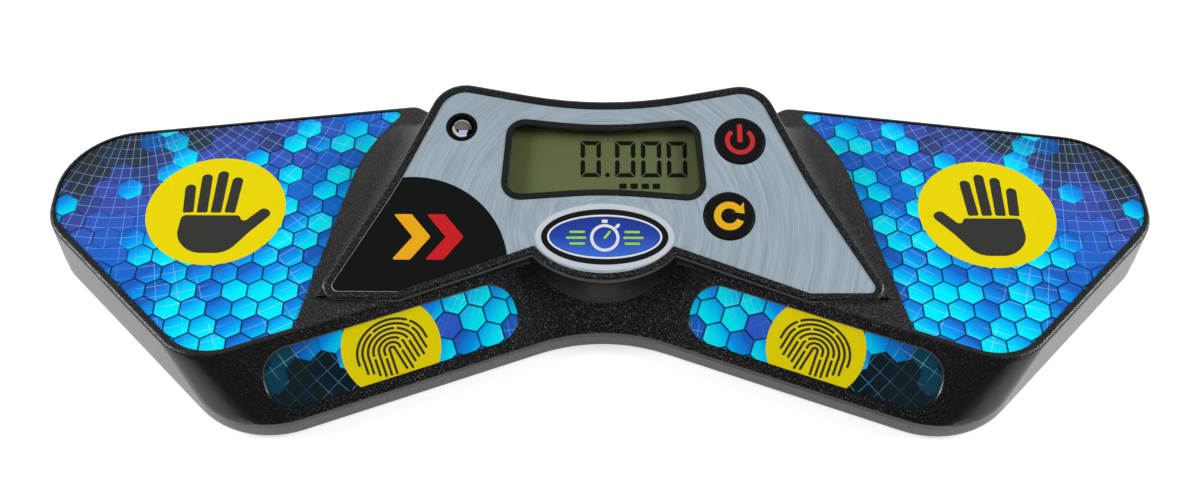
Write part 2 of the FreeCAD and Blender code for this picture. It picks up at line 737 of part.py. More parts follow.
def battery_door():
    door = door_solids(0.0)
    back = CENTRE_BACK_Y - SEAT_GAP
    edge = [e for e in door.Edges if e.BoundBox.YMin > back - 1e-4 and e.BoundBox.ZMax < BOTTOM + 1e-4]
    door = door.makeFillet(BASE_ROUND, edge)
    for k in range(GRIP_RIBS):
        y = back - GRIP_INSET - k * GRIP_PITCH
        door = door.cut(block(-GRIP_HALF_WIDTH, y - GRIP_PITCH / 2, BOTTOM,
                              GRIP_HALF_WIDTH, y, BOTTOM + GRIP_DEPTH))
    return door


def bay_walls():
    """Walls and roof round the cells, with the rail block at their foot."""
    side = BAY_HALF_LENGTH + BAY_WALL
    deep = bay_half_depth() + BAY_WALL
    low = BOTTOM + DOOR_THICKNESS
    walls = block(-side, BAY_Y - deep, low, side, BAY_Y + deep, bay_top() + BAY_ROOF)
    rail = side + RAIL_BLOCK_WIDTH
    base = block(-rail, BAY_Y - deep - BAY_WALL, BOTTOM,
                 rail, CENTRE_BACK_Y - WALL / 2, BOTTOM + RAIL_BLOCK_HEIGHT)
    return walls.fuse(base)


def bay_room():
    deep = bay_half_depth()
    return block(-BAY_HALF_LENGTH, BAY_Y - deep, BOTTOM + DOOR_THICKNESS,
                 BAY_HALF_LENGTH, BAY_Y + deep, bay_top())


def bay_top():
    return cell_z() + CELL_RADIUS + STACK_GAP


def cell_z():
    return BOTTOM + DOOR_THICKNESS + STACK_GAP + CELL_RADIUS


def lower_case():
    outline = grown(BASE, -SEAT_GAP)
    tray = Part.Face(ring(outline, BOTTOM)).extrude(vec(0, 0, BASE_HEIGHT))
    bottom_edges = [e for e in tray.Edges if e.BoundBox.ZMax < BOTTOM + 1e-4]
    tray = tray.makeFillet(BASE_ROUND, bottom_edges)
    rim = [e for e in tray.Edges if e.BoundBox.ZMin > SEAM - 1e-4]
    tray = tray.makeChamfer(SEAM_CHAMFER, rim)
    tray = tray.cut(prism(grown(BASE, -WALL), BOTTOM + FLOOR, ABOVE))
    adds = [bay_walls()]
    for at in CASE_SCREWS_AT:
        adds += both(disc(at, PILLAR_RADIUS, BOTTOM + FLOOR / 2, BOTTOM + PILLAR_HEIGHT))
    adds += both(disc(SOCKET_AT, SOCKET_RADIUS + SOCKET_BOSS_WALL, BOTTOM + FLOOR / 2,
                      BOTTOM + SOCKET_HEIGHT + SOCKET_BOSS_WALL))
    width, length, height = JACK_BODY
    adds.append(block(JACK_X - width / 2, jack_back() - length + WALL, BOTTOM + FLOOR / 2,
                      JACK_X + width / 2, jack_back() - WALL, BOTTOM + JACK_Z - height / 2))
    body = joined([tray] + adds)
    cuts = [bay_room(), door_solids(DOOR_GAP)]
    for at in CASE_SCREWS_AT:
        cuts += both(disc(at, SCREW_RADIUS + RUN_GAP, BOTTOM, ABOVE))
        cuts += both(disc(at, SCREW_HEAD[0] + RUN_GAP, BOTTOM, screw_seat()))
    for at in FEET_AT:
        cuts += both(disc(at, FOOT_RADIUS + SEAT_GAP, BOTTOM, BOTTOM + FOOT_SUNK))
    cuts += both(disc(SOCKET_AT, SOCKET_RADIUS + SEAT_GAP, BOTTOM, BOTTOM + SOCKET_HEIGHT))
    for y in battery_lead_ys():
        inside = vec(BAY_HALF_LENGTH - PAST, y, battery_lead_z())
        cuts.append(Part.makeCylinder(LEAD_RADIUS + RUN_GAP, BAY_WALL + 2 * PAST, inside,
                                      vec(1, 0, 0)))
    for cut in cuts:
        body = body.cut(cut)
    return body.removeSplitter()


def battery_lead_ys():
    """Each lead meets its contact plate near the middle of the bay."""
    return [y - math.copysign(CONTACT_SIZE / 2 - 2 * LEAD_RADIUS, y - BAY_Y) for y in cell_ys()]


def battery_lead_z():
    return cell_z() + CONTACT_SIZE / 2 - 2 * LEAD_RADIUS


def jack_back():
    """Where the jack's body meets the inside of the back wall."""
    return CENTRE_BACK_Y - WALL - SEAT_GAP


# ---- what lies on and in the panel

def face_plate():
    plate = face_prism(0.0, FACE_UNDER, FACE_TOP)
    plate = plate.cut(prism(screen_outline(0.0), FACE_UNDER - PAST, FACE_TOP + PAST))
    for at in (POWER_AT, RESET_AT):
        plate = plate.cut(disc(at, BUTTON_RADIUS + RUN_GAP, FACE_UNDER - PAST, FACE_TOP + PAST))
    plate = plate.cut(disc(LIGHT_AT, LIGHT_RING_RADIUS + SEAT_GAP, FACE_UNDER - PAST, FACE_TOP + PAST))
    return in_panel(plate)


def display_window():
    high = -WINDOW_SUNK - SEAT_GAP / 3
    return in_panel(prism(screen_outline(-2 * SEAT_GAP), high - WINDOW_THICKNESS, high))


def lcd_top():
    return -PANEL_ROOF - STACK_GAP


def lcd_box(margin, low, high, radius=0.0):
    wide, deep = LCD_SIZE[0] / 2 + margin, LCD_SIZE[1] / 2 + margin
    return prism(rectangle(-wide, LCD_Y - deep, wide, LCD_Y + deep, radius), low, high)


def lcd_panel():
    return in_panel(lcd_box(0.0, lcd_top() - LCD_THICKNESS, lcd_top()))


def display_holder():
    frame = lcd_box(HOLDER_WALL, BOARD_TOP, lcd_top(), HOLDER_RADIUS).cut(
        lcd_box(SEAT_GAP, BOARD_TOP - PAST, lcd_top() + PAST))
    return in_panel(frame)


def zebra_strips():
    """Two conductive rubber strips between the display glass and the board."""
    half, deep = ZEBRA_LENGTH / 2, LCD_SIZE[1] / 2
    strips = []
    for y in (LCD_Y - deep, LCD_Y + deep - ZEBRA_WIDTH):
        strips.append(in_panel(block(-half, y, BOARD_TOP, half, y + ZEBRA_WIDTH,
                                     lcd_top() - LCD_THICKNESS)))
    return group(strips)


def circuit_board():
    board = prism(BOARD, BOARD_UNDER, BOARD_TOP)
    for at in BOARD_SCREWS_AT:
        board = board.cut(disc(at, BOARD_SCREW_RADIUS + SEAT_GAP, BOARD_UNDER - PAST,
                               BOARD_TOP + PAST))
    return in_panel(board)


def board_screws():
    screws = []
    for at in BOARD_SCREWS_AT:
        screws.append(in_panel(screw(at, BOARD_UNDER, BOARD_SCREW_RADIUS, BOARD_SCREW_LENGTH,
                                     BOARD_SCREW_HEAD)))
    return group(screws)


def button_cap(at):
    """Cap with its under-panel flange and the stem that reaches the switch."""
    top = FACE_TOP + BUTTON_PROUD
    flange_top = -PANEL_ROOF - SEAT_GAP
    cap = disc(at, BUTTON_RADIUS, flange_top - FLANGE_THICKNESS, top)
    edge = [e for e in cap.Edges if e.BoundBox.ZMin > top - 1e-4]
    cap = cap.makeFillet(BUTTON_ROUND, edge)
    cap = cap.fuse(disc(at, FLANGE_RADIUS, flange_top - FLANGE_THICKNESS, flange_top))
    cap = cap.fuse(disc(at, STEM_RADIUS, plunger_top(), flange_top))
    return in_panel(cap.removeSplitter())


def plunger_top():
    return BOARD_TOP + SWITCH_HEIGHT + BUTTON_TRAVEL + STACK_GAP


def switch_plunger(at):
    return in_panel(disc(at, PLUNGER_RADIUS, plunger_top() - PLUNGER_LENGTH, plunger_top()))


def push_switch(at):
    """Small square switch on the board, with a well for its plunger."""
    half = SWITCH_SIZE / 2
    body = block(at[0] - half, at[1] - half, BOARD_TOP,
                 at[0] + half, at[1] + half, BOARD_TOP + SWITCH_HEIGHT)
    well = plunger_top() - PLUNGER_LENGTH - BUTTON_TRAVEL - STACK_GAP
    return in_panel(body.cut(disc(at, PLUNGER_RADIUS + RUN_GAP, well,
                                  BOARD_TOP + SWITCH_HEIGHT + PAST)))


def dome(at, radius, rise, low, base):
    """A round post from low to base, with a domed end that rises over its base."""
    ball = (radius * radius + rise * rise) / (2 * rise)
    cap = disc(at, radius, base, base + rise).common(
        Part.makeSphere(ball, vec(at[0], at[1], base + rise - ball)))
    return disc(at, radius, low, base).fuse(cap).removeSplitter()


def light_foot():
    """Lower end of the ring and the lens, behind the panel."""
    return -PANEL_ROOF - LIGHT_COLLAR


def light_ring():
    inner = LIGHT_LENS_RADIUS + SEAT_GAP
    sleeve = tube(LIGHT_AT, LIGHT_RING_RADIUS, inner, light_foot(), FACE_TOP + BUTTON_PROUD)
    collar = tube(LIGHT_AT, LIGHT_RING_RADIUS + LIGHT_COLLAR, inner, light_foot(), -PANEL_ROOF)
    return in_panel(sleeve.fuse(collar).removeSplitter())


def light_lens():
    rim = FACE_TOP + BUTTON_PROUD - LIGHT_DOME
    return in_panel(dome(LIGHT_AT, LIGHT_LENS_RADIUS, LIGHT_DOME, light_foot(), rim))


def status_light():
    """Round light with a domed end and a collar at its foot."""
    base = BOARD_TOP + LED_STANDOFF
    body = dome(LIGHT_AT, LED_RADIUS, LED_DOME, base, base + LED_LENGTH)
    collar = disc(LIGHT_AT, LED_RADIUS + LED_COLLAR, base, base + LED_STANDOFF)
    return in_panel(body.fuse(collar).removeSplitter())


def light_pins():
    x, y = LIGHT_AT
    pins = [disc((x + side * PIN_SPACING / 2, y), PIN_RADIUS, BOARD_TOP, BOARD_TOP + LED_STANDOFF)
            for side in (-1, 1)]
    return group([in_panel(pin) for pin in pins])


def controller_chip():
    half = CHIP_SIZE / 2
    x, y = CHIP_AT
    return in_panel(block(x - half, y - half, BOARD_UNDER - CHIP_HEIGHT, x + half, y + half,
                          BOARD_UNDER))


def crystal():
    x, y = CRYSTAL_AT
    long, wide, high = CRYSTAL_SIZE
    can = rectangle(x - long / 2, y - wide / 2, x + long / 2, y + wide / 2, wide / 2 - SMALL_RADIUS)
    return in_panel(prism(can, BOARD_UNDER - high, BOARD_UNDER))


def capacitor():
    return in_panel(disc(CAPACITOR_AT, CAPACITOR_RADIUS, BOARD_UNDER - CAPACITOR_HEIGHT,
                         BOARD_UNDER))


# ---- touch pads

def hand_overlay():
    low = OVERLAY_TOP - OVERLAY_THICKNESS
    return prism(grown(PAD, -SEAT_GAP), low, OVERLAY_TOP)


def hand_electrode():
    high = OVERLAY_TOP - OVERLAY_THICKNESS
    return prism(grown(PAD, -ELECTRODE_INSET - SEAT_GAP), high - ELECTRODE_THICKNESS, high)


def finger_overlay():
    high = -OVERLAY_SUNK
    return on_slope(prism(grown(FINGER, -SEAT_GAP), high - OVERLAY_THICKNESS, high))


def finger_electrode():
    high = -OVERLAY_SUNK - OVERLAY_THICKNESS
    return on_slope(prism(grown(FINGER, -ELECTRODE_INSET - SEAT_GAP),
                          high - ELECTRODE_THICKNESS, high))


def under_board(at):
    """A point on the underside of the circuit board, from its panel coordinates."""
    return PANEL.multVec(vec(at[0], at[1], BOARD_UNDER))


def lead_to_board(points, radius=LEAD_RADIUS):
    """A lead whose last run ends flush with the underside of the board."""
    last = (points[-1] - points[-2]).normalize()
    return lead(points[:-1] + [points[-1] + last * radius], radius).cut(above_panel(BOARD_UNDER))


def pad_leads():
    """A lead from each electrode to the underside of the board."""
    x, y = HAND_LEAD_AT
    top = OVERLAY_TOP - OVERLAY_THICKNESS - ELECTRODE_THICKNESS
    end = under_board(HAND_LEAD_END)
    hand = [vec(x, y, top), vec(x, y, top - LEAD_DROP), vec(end.x, end.y, top - LEAD_DROP), end]
    x, y = FINGER_LEAD_AT
    depth = -OVERLAY_SUNK - OVERLAY_THICKNESS - ELECTRODE_THICKNESS
    end = under_board(FINGER_LEAD_END)
    finger = [SLOPE.multVec(vec(x, y, depth)), SLOPE.multVec(vec(x, y, depth - LEAD_DROP)),
              end + vec(0, 0, -LEAD_DROP), end]
    return group(both(lead_to_board(hand)) + both(lead_to_board(finger)))


# ---- battery bay contents

def cell_ys():
    return BAY_Y - CELL_SPACING / 2, BAY_Y + CELL_SPACING / 2


def battery_cell(y, way):
    """One AAA cell; way is +1 with its positive end to the right."""
    start = -way * (BAY_HALF_LENGTH - CONTACT_THICKNESS - spring_room())
    can = Part.makeCylinder(CELL_RADIUS, CELL_LENGTH, vec(start, y, cell_z()), vec(way, 0, 0))
    ends = [e for e in can.Edges if e.Length > 1.9 * math.pi * CELL_RADIUS and e.Closed]
    can = can.makeFillet(0.5, [e for e in ends if e.BoundBox.XLength < 1e-3])
    nipple = Part.makeCylinder(CELL_NIPPLE_RADIUS, CELL_NIPPLE,
                               vec(start + way * CELL_LENGTH, y, cell_z()), vec(way, 0, 0))
    return can.fuse(nipple).removeSplitter()


def spring_room():
    """Length left for the compressed spring at a cell's negative end."""
    return 2 * BAY_HALF_LENGTH - 2 * CONTACT_THICKNESS - CELL_LENGTH - CELL_NIPPLE - 0.1


def contact_plates():
    plates = []
    half = CONTACT_SIZE / 2
    for y in cell_ys():
        for side in (-1, 1):
            x = side * BAY_HALF_LENGTH
            x0, x1 = sorted((x, x - side * CONTACT_THICKNESS))
            plates.append(block(x0, y - half, cell_z() - half, x1, y + half, cell_z() + half))
    return group(plates)


def contact_springs():
    """Coil springs that press the cells' negative ends."""
    springs = []
    for y, way in zip(cell_ys(), (1, -1)):
        length = spring_room() - 2 * SPRING_WIRE - 0.1
        helix = Part.makeHelix(length / SPRING_TURNS, length, SPRING_RADIUS)
        section = Part.Wire(Part.makeCircle(SPRING_WIRE, vec(SPRING_RADIUS, 0, 0), vec(0, 1, 0)))
        coil = Part.Wire(helix.Edges).makePipeShell([section], True, True)
        start = -way * (BAY_HALF_LENGTH - CONTACT_THICKNESS - SPRING_WIRE - 0.05)
        coil.Placement = FreeCAD.Placement(vec(start, y, cell_z()),
                                           FreeCAD.Rotation(vec(0, 0, 1), vec(way, 0, 0)))
        springs.append(coil)
    return group(springs)


def battery_leads():
    leads = []
    x, z = BAY_HALF_LENGTH, battery_lead_z()
    for y in battery_lead_ys():
        end = under_board((BATTERY_LEAD_X, y / PANEL_COS))
        bend = vec(BATTERY_LEAD_X - 2, y, z)
        leads.append(lead_to_board([vec(x, y, z), bend, end]))
    return group(leads)


# ---- data jack, screws, feet and mat sockets

def data_jack():
    """Socket body behind the back wall, with the round bore through its barrel."""
    width, length, height = JACK_BODY
    z = BOTTOM + JACK_Z
    body = block(JACK_X - width / 2, jack_back() - length, z - height / 2,
                 JACK_X + width / 2, jack_back(), z + height / 2)
    barrel = Part.makeCylinder(JACK_BARREL_RADIUS - JACK_SLEEVE - PILOT_GAP,
                               CENTRE_BACK_Y - jack_back() - JACK_SUNK,
                               vec(JACK_X, jack_back(), z), vec(0, 1, 0))
    bore = Part.makeCylinder(JACK_BORE_RADIUS, length + WALL,
                             vec(JACK_X, jack_back() - length + JACK_END_WALL, z), vec(0, 1, 0))
    return body.fuse(barrel).cut(bore).removeSplitter()


def jack_sleeve():
    """Metal ring round the jack's mouth."""
    z = BOTTOM + JACK_Z
    low = vec(JACK_X, jack_back(), z)
    long = CENTRE_BACK_Y - jack_back()
    outer = Part.makeCylinder(JACK_BARREL_RADIUS, long, low, vec(0, 1, 0))
    return outer.cut(Part.makeCylinder(JACK_BARREL_RADIUS - JACK_SLEEVE, long, low,
                                       vec(0, 1, 0)))


def jack_leads():
    leads = []
    z = BOTTOM + JACK_Z
    front = jack_back() - JACK_BODY[1]
    for k in (-1, 0, 1):
        x = JACK_X + k * JACK_LEAD_PITCH
        end = under_board((x, 0.0))
        points = [vec(x, front, z), vec(x, front - JACK_LEAD_RUN, z), end]
        leads.append(lead_to_board(points, JACK_LEAD_RADIUS))
    return group(leads)


def case_screws():
    screws = []
    for at in CASE_SCREWS_AT:
        screws += both(screw(at, screw_seat(), SCREW_RADIUS, SCREW_LENGTH, SCREW_HEAD))
    return group(screws)


def screw(at, seat, radius, length, head_size):
    """A screw put in from below, with its head under the seat and a cross recess in it."""
    head_radius, head_height = head_size
    head = disc(at, head_radius, seat - head_height, seat)
    edge = [e for e in head.Edges if e.BoundBox.ZMax < seat - head_height + 1e-4]
    head = head.makeFillet(head_height / 3, edge)
    body = head.fuse(disc(at, radius, seat, seat + length)).removeSplitter()
    arm, half = 0.62 * head_radius, 0.13 * head_radius
    low = seat - head_height - PAST
    for dx, dy in ((arm, half), (half, arm)):
        body = body.cut(block(at[0] - dx, at[1] - dy, low,
                              at[0] + dx, at[1] + dy, seat - head_height / 2))
    return body


def rubber_feet():
    feet = []
    for at in FEET_AT:
        foot = disc(at, FOOT_RADIUS, 0.0, BOTTOM + FOOT_SUNK)
        edge = [e for e in foot.Edges if e.BoundBox.ZMax < 1e-4]
        feet += both(foot.makeFillet(FOOT_ROUND, edge))
    return group(feet)


def mat_socket():
    """Metal press-stud socket for the stud of a mat."""
    ring_part = disc(SOCKET_AT, SOCKET_RADIUS, BOTTOM, BOTTOM + SOCKET_HEIGHT)
    return ring_part.cut(disc(SOCKET_AT, SOCKET_BORE_RADIUS, BOTTOM, BOTTOM + SOCKET_BORE_DEPTH))


def sub_parts():
    """Every node by name."""
    parts = {
        "upper_case": upper_case(),
        "lower_case": lower_case(),
        "battery_door": battery_door(),
        "face_plate": face_plate(),
        "display_window": display_window(),
        "lcd_panel": lcd_panel(),
        "display_holder": display_holder(),
        "zebra_strips": zebra_strips(),
        "main_board": circuit_board(),
        "board_screws": board_screws(),
        "controller_chip": controller_chip(),
        "crystal": crystal(),
        "capacitor": capacitor(),
        "light_ring": light_ring(),
        "light_lens": light_lens(),
        "status_light": status_light(),
        "light_pins": light_pins(),
        "pad_leads": pad_leads(),
        "battery_cell_front": battery_cell(cell_ys()[0], 1),
        "battery_cell_back": battery_cell(cell_ys()[1], -1),
        "contact_plates": contact_plates(),
        "contact_springs": contact_springs(),
        "battery_leads": battery_leads(),
        "data_jack": data_jack(),
        "jack_sleeve": jack_sleeve(),
        "jack_leads": jack_leads(),
        "case_screws": case_screws(),
        "rubber_feet": rubber_feet(),
    }
    for name, at in (("power", POWER_AT), ("reset", RESET_AT)):
        parts[name + "_button"] = button_cap(at)
        parts[name + "_plunger"] = switch_plunger(at)
        parts[name + "_switch"] = push_switch(at)
    pairs = {"hand_overlay": hand_overlay(), "hand_electrode": hand_electrode(),
             "finger_overlay": finger_overlay(), "finger_electrode": finger_electrode(),
             "mat_socket": mat_socket()}
    for name, shape in pairs.items():
        parts[name + "_right"] = shape
        parts[name + "_left"] = mirror(shape)
    return parts


def main():
    """Moves every piece so that the origin lies under the middle, and writes it."""
    os.makedirs("parts", exist_ok=True)
    box = ring(BASE).BoundBox
    to_origin = vec(-box.Center.x, -box.Center.y, 0)
    for name, shape in sub_parts().items():
        moved = shape.translated(to_origin)
        if len(moved.Solids) == 1:
            moved = moved.Solids[0]
        moved.exportStep("parts/%s.step" % name)
        print("%-22s solids %d  %9.1f mm3  valid %s" % (name, len(moved.Solids), moved.Volume,
                                                       moved.isValid()))


if __name__ == "__main__":
    main()
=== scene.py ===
import math
import random

import bmesh
import bpy
from mathutils import Matrix, Vector
from mathutils.geometry import tessellate_polygon

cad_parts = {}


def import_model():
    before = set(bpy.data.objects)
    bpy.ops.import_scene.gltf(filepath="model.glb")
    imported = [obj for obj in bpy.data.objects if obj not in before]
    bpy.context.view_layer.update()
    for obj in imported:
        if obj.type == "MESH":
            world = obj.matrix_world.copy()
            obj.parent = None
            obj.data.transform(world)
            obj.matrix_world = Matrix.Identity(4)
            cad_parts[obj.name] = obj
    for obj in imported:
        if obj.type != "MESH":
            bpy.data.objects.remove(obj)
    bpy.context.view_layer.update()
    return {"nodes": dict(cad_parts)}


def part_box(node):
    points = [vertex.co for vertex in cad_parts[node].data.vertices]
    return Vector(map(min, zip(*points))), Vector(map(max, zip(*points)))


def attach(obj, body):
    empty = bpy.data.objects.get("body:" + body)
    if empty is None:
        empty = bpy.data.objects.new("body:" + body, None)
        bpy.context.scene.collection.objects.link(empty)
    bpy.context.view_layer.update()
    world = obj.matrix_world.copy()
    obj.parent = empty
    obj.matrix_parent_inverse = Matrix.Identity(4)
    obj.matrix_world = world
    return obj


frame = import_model()
NODES = frame["nodes"]

# Looks of the speed cube timer. Lengths are in millimetres in the object's own frame, or on
# its tilted panel (to the right, up the slope), and MM turns them into Blender's metres.
MM = 0.001
DATUM_Y = 23.006  # middle of the power button, from the origin
PANEL_TILT = math.radians(17.06)
PANEL_Z = 32.33  # bezel plane at the datum
FACE_TOP = -0.3  # face plate, LCD and buttons, from the bezel plane
LCD_TOP = -3.3
BUTTON_TOP = -0.1
FRONT_SWEEP = math.radians(21.6)
SLOPE_APEX_Y = -39.9  # from the datum
SLOPE_FOOT_Z = 6.6
SLOPE_ANGLE = math.atan2(12.1, 17.3)  # its rise and its run
HAND_FILM_TOP = 18.3
FINGER_FILM_TOP = -0.4  # from the slope's surface
PRINT = 0.035  # thickness of a printed layer
DOUBLE = 0.001  # points nearer than this are one
TAB_CENTRE = (0.0, -24.06)  # on the panel


def place_at(x, y, z):
    return Matrix.Scale(MM, 4) @ Matrix.Translation((x, y, z))


PLAN = place_at(0.0, DATUM_Y, 0.0)
PANEL = place_at(0.0, DATUM_Y, PANEL_Z) @ Matrix.Rotation(PANEL_TILT, 4, "X")
SLOPE = {side: (place_at(0.0, DATUM_Y + SLOPE_APEX_Y, SLOPE_FOOT_Z)
                @ Matrix.Rotation(-side * FRONT_SWEEP, 4, "Z")
                @ Matrix.Rotation(SLOPE_ANGLE, 4, "X")) for side in (-1, 1)}
SIDES = {"left": -1, "right": 1}
MIDDLE = (0.0, 0.0)


# ---- outlines: lists of (x, y) points

def circle(at, radius, count=96, squash=1.0):
    return [(at[0] + radius * math.cos(math.tau * k / count),
             at[1] + squash * radius * math.sin(math.tau * k / count)) for k in range(count)]


def arc(at, radius, start, end, count=24):
    """Points along an arc, with its angles in degrees."""
    turns = [math.radians(start + (end - start) * k / count) for k in range(count + 1)]
    return [(at[0] + radius * math.cos(t), at[1] + radius * math.sin(t)) for t in turns]


def rounded(corners, steps=8):
    """An outline from a list of (x, y, corner radius)."""
    result = []
    count = len(corners)
    for i in range(count):
        here = Vector(corners[i][:2])
        radius = corners[i][2]
        back = (Vector(corners[i - 1][:2]) - here).normalized()
        ahead = (Vector(corners[(i + 1) % count][:2]) - here).normalized()
        half = back.angle(ahead) / 2
        reach = radius / math.tan(half)
        centre = here + (back + ahead).normalized() * (radius / math.sin(half))
        first = here + back * reach - centre
        last = here + ahead * reach - centre
        turn = first.angle_signed(last)
        for k in range(steps + 1):
            angle = -turn * k / steps
            spot = Vector((first.x * math.cos(angle) - first.y * math.sin(angle),
                           first.x * math.sin(angle) + first.y * math.cos(angle)))
            result.append(tuple(centre + spot))
    return result


def bar(x0, y0, x1, y1, radius, end_radius=None, steps=8):
    """A rectangle with round corners, which may have another radius at its upper end."""
    end = radius if end_radius is None else end_radius
    return rounded([(x0, y0, radius), (x1, y0, radius), (x1, y1, end), (x0, y1, end)], steps)


def stroke(points, width, cap_steps=6):
    """The outline of a line of this width with round ends."""
    half = width / 2
    spots = [Vector(p) for p in points]
    left, right = [], []
    for i, spot in enumerate(spots):
        run = (spots[min(i + 1, len(spots) - 1)] - spots[max(i - 1, 0)]).normalized()
        side = Vector((-run.y, run.x)) * half
        left.append(spot + side)
        right.append(spot - side)

    def cap(spot, run):
        start = math.atan2(run.y, run.x) + math.pi / 2
        return [spot + Vector((math.cos(start - math.pi * k / cap_steps),
                               math.sin(start - math.pi * k / cap_steps))) * half
                for k in range(1, cap_steps)]

    end = cap(spots[-1], (spots[-1] - spots[-2]).normalized())
    begin = cap(spots[0], (spots[0] - spots[1]).normalized())
    return [tuple(p) for p in left + end + right[::-1] + begin]


def moved(outline, at, angle=0.0, mirror=1):
    """An outline turned by degrees, then mirrored in x, then moved."""
    c = math.cos(math.radians(angle))
    s = math.sin(math.radians(angle))
    return [(at[0] + mirror * (x * c - y * s), at[1] + x * s + y * c) for x, y in outline]


# ---- pieces

def linked(name, data):
    """A new object in the scene."""
    made = bpy.data.objects.new(name, data)
    bpy.context.scene.collection.objects.link(made)
    return made


def add_piece(name, mesh, material, slot, body="case"):
    piece = linked(name, mesh)
    mesh.materials.clear()
    mesh.materials.append(material)
    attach(piece, body)


def mended(mesh):
    """Merges doubled points and turns all faces outward."""
    shape = bmesh.new()
    shape.from_mesh(mesh)
    bmesh.ops.remove_doubles(shape, verts=shape.verts, dist=DOUBLE * MM)
    bmesh.ops.recalc_face_normals(shape, faces=shape.faces)
    shape.to_mesh(mesh)
    shape.free()
    return mesh


def new_mesh(name, spots, faces):
    mesh = bpy.data.meshes.new(name)
    mesh.from_pydata(spots, [], faces)
    return mended(mesh)


def flat_mesh(name, outlines, place, low, high):
    """A plate with these outlines, which lies in a place's plane. An outline inside
    another one is a hole."""
    rings = [[Vector((x, y, 0.0)) for x, y in outline] for outline in outlines]
    flat = [spot for ring in rings for spot in ring]
    count = len(flat)
    spots = [place @ Vector((p.x, p.y, z)) for z in (high, low) for p in flat]
    faces = []
    for triangle in tessellate_polygon(rings):
        faces.append(tuple(triangle))
        faces.append(tuple(k + count for k in reversed(triangle)))
    start = 0
    for ring in rings:
        for k in range(len(ring)):
            one = start + k
            other = start + (k + 1) % len(ring)
            faces.append((one, other, other + count, one + count))
        start += len(ring)
    return new_mesh(name, spots, faces)


def merged(name, meshes):
    """One mesh from several."""
    shape = bmesh.new()
    for mesh in meshes:
        shape.from_mesh(mesh)
    result = bpy.data.meshes.new(name)
    shape.to_mesh(result)
    shape.free()
    return result


def printed(name, shapes, place, low):
    """One mesh of printed marks. Each shape is a list of outlines."""
    return merged(name, [flat_mesh("mark", shape, place, low, low + PRINT) for shape in shapes])


def add_marks(name, outlines, at, place, low, *looks, mirror=1):
    """A piece of printed marks, one for each outline, which are given about a point."""
    shapes = [[moved(line, at, 0.0, mirror)] for line in outlines]
    add_piece(name, printed(name, shapes, place, low), *looks)


def raised(place, height):
    """A move along a place's normal."""
    return Matrix.Translation((place.to_3x3() @ Vector((0, 0, 1))) * height)


def clipped(name, tool_mesh, node, move):
    """The part of a moved copy of a CAD node that lies inside a tool mesh."""
    body = linked(name, NODES[node].data.copy())
    body.data.transform(move)
    mended(body.data)
    tool = linked(name + "_tool", tool_mesh)
    cut = body.modifiers.new("cut", "BOOLEAN")
    cut.operation = "INTERSECT"
    cut.solver = "EXACT"
    cut.object = tool
    graph = bpy.context.evaluated_depsgraph_get()
    mesh = bpy.data.meshes.new_from_object(body.evaluated_get(graph))
    for item in (body, tool):
        bpy.data.objects.remove(item)
    mesh.shade_flat()
    return mesh


def band(count, below, above):
    """Faces between two rings of this many points, which the rings' numbers name."""
    return [(below * count + i, below * count + (i + 1) % count,
             above * count + (i + 1) % count, above * count + i) for i in range(count)]


def domed_mesh(name, at, half, place, low, rise, rings=10, count=96):
    """A shallow elliptical dome that stands on a plane of a place."""
    spots, faces = [], []
    for k in range(rings):
        reach = math.cos(k / rings * math.pi / 2)
        height = low + rise * math.sin(k / rings * math.pi / 2)
        for x, y in circle(MIDDLE, 1.0, count):
            spots.append(place @ Vector((at[0] + x * reach * half[0], at[1] + y * reach * half[1], height)))
    spots.append(place @ Vector((at[0], at[1], low + rise)))
    for k in range(rings - 1):
        faces += band(count, k, k + 1)
    last = (rings - 1) * count
    for i in range(count):
        faces.append((last + i, last + (i + 1) % count, last + count))
    faces.append(tuple(reversed(range(count))))
    mesh = new_mesh(name, spots, faces)
    mesh.shade_smooth()
    return mesh


# ---- materials

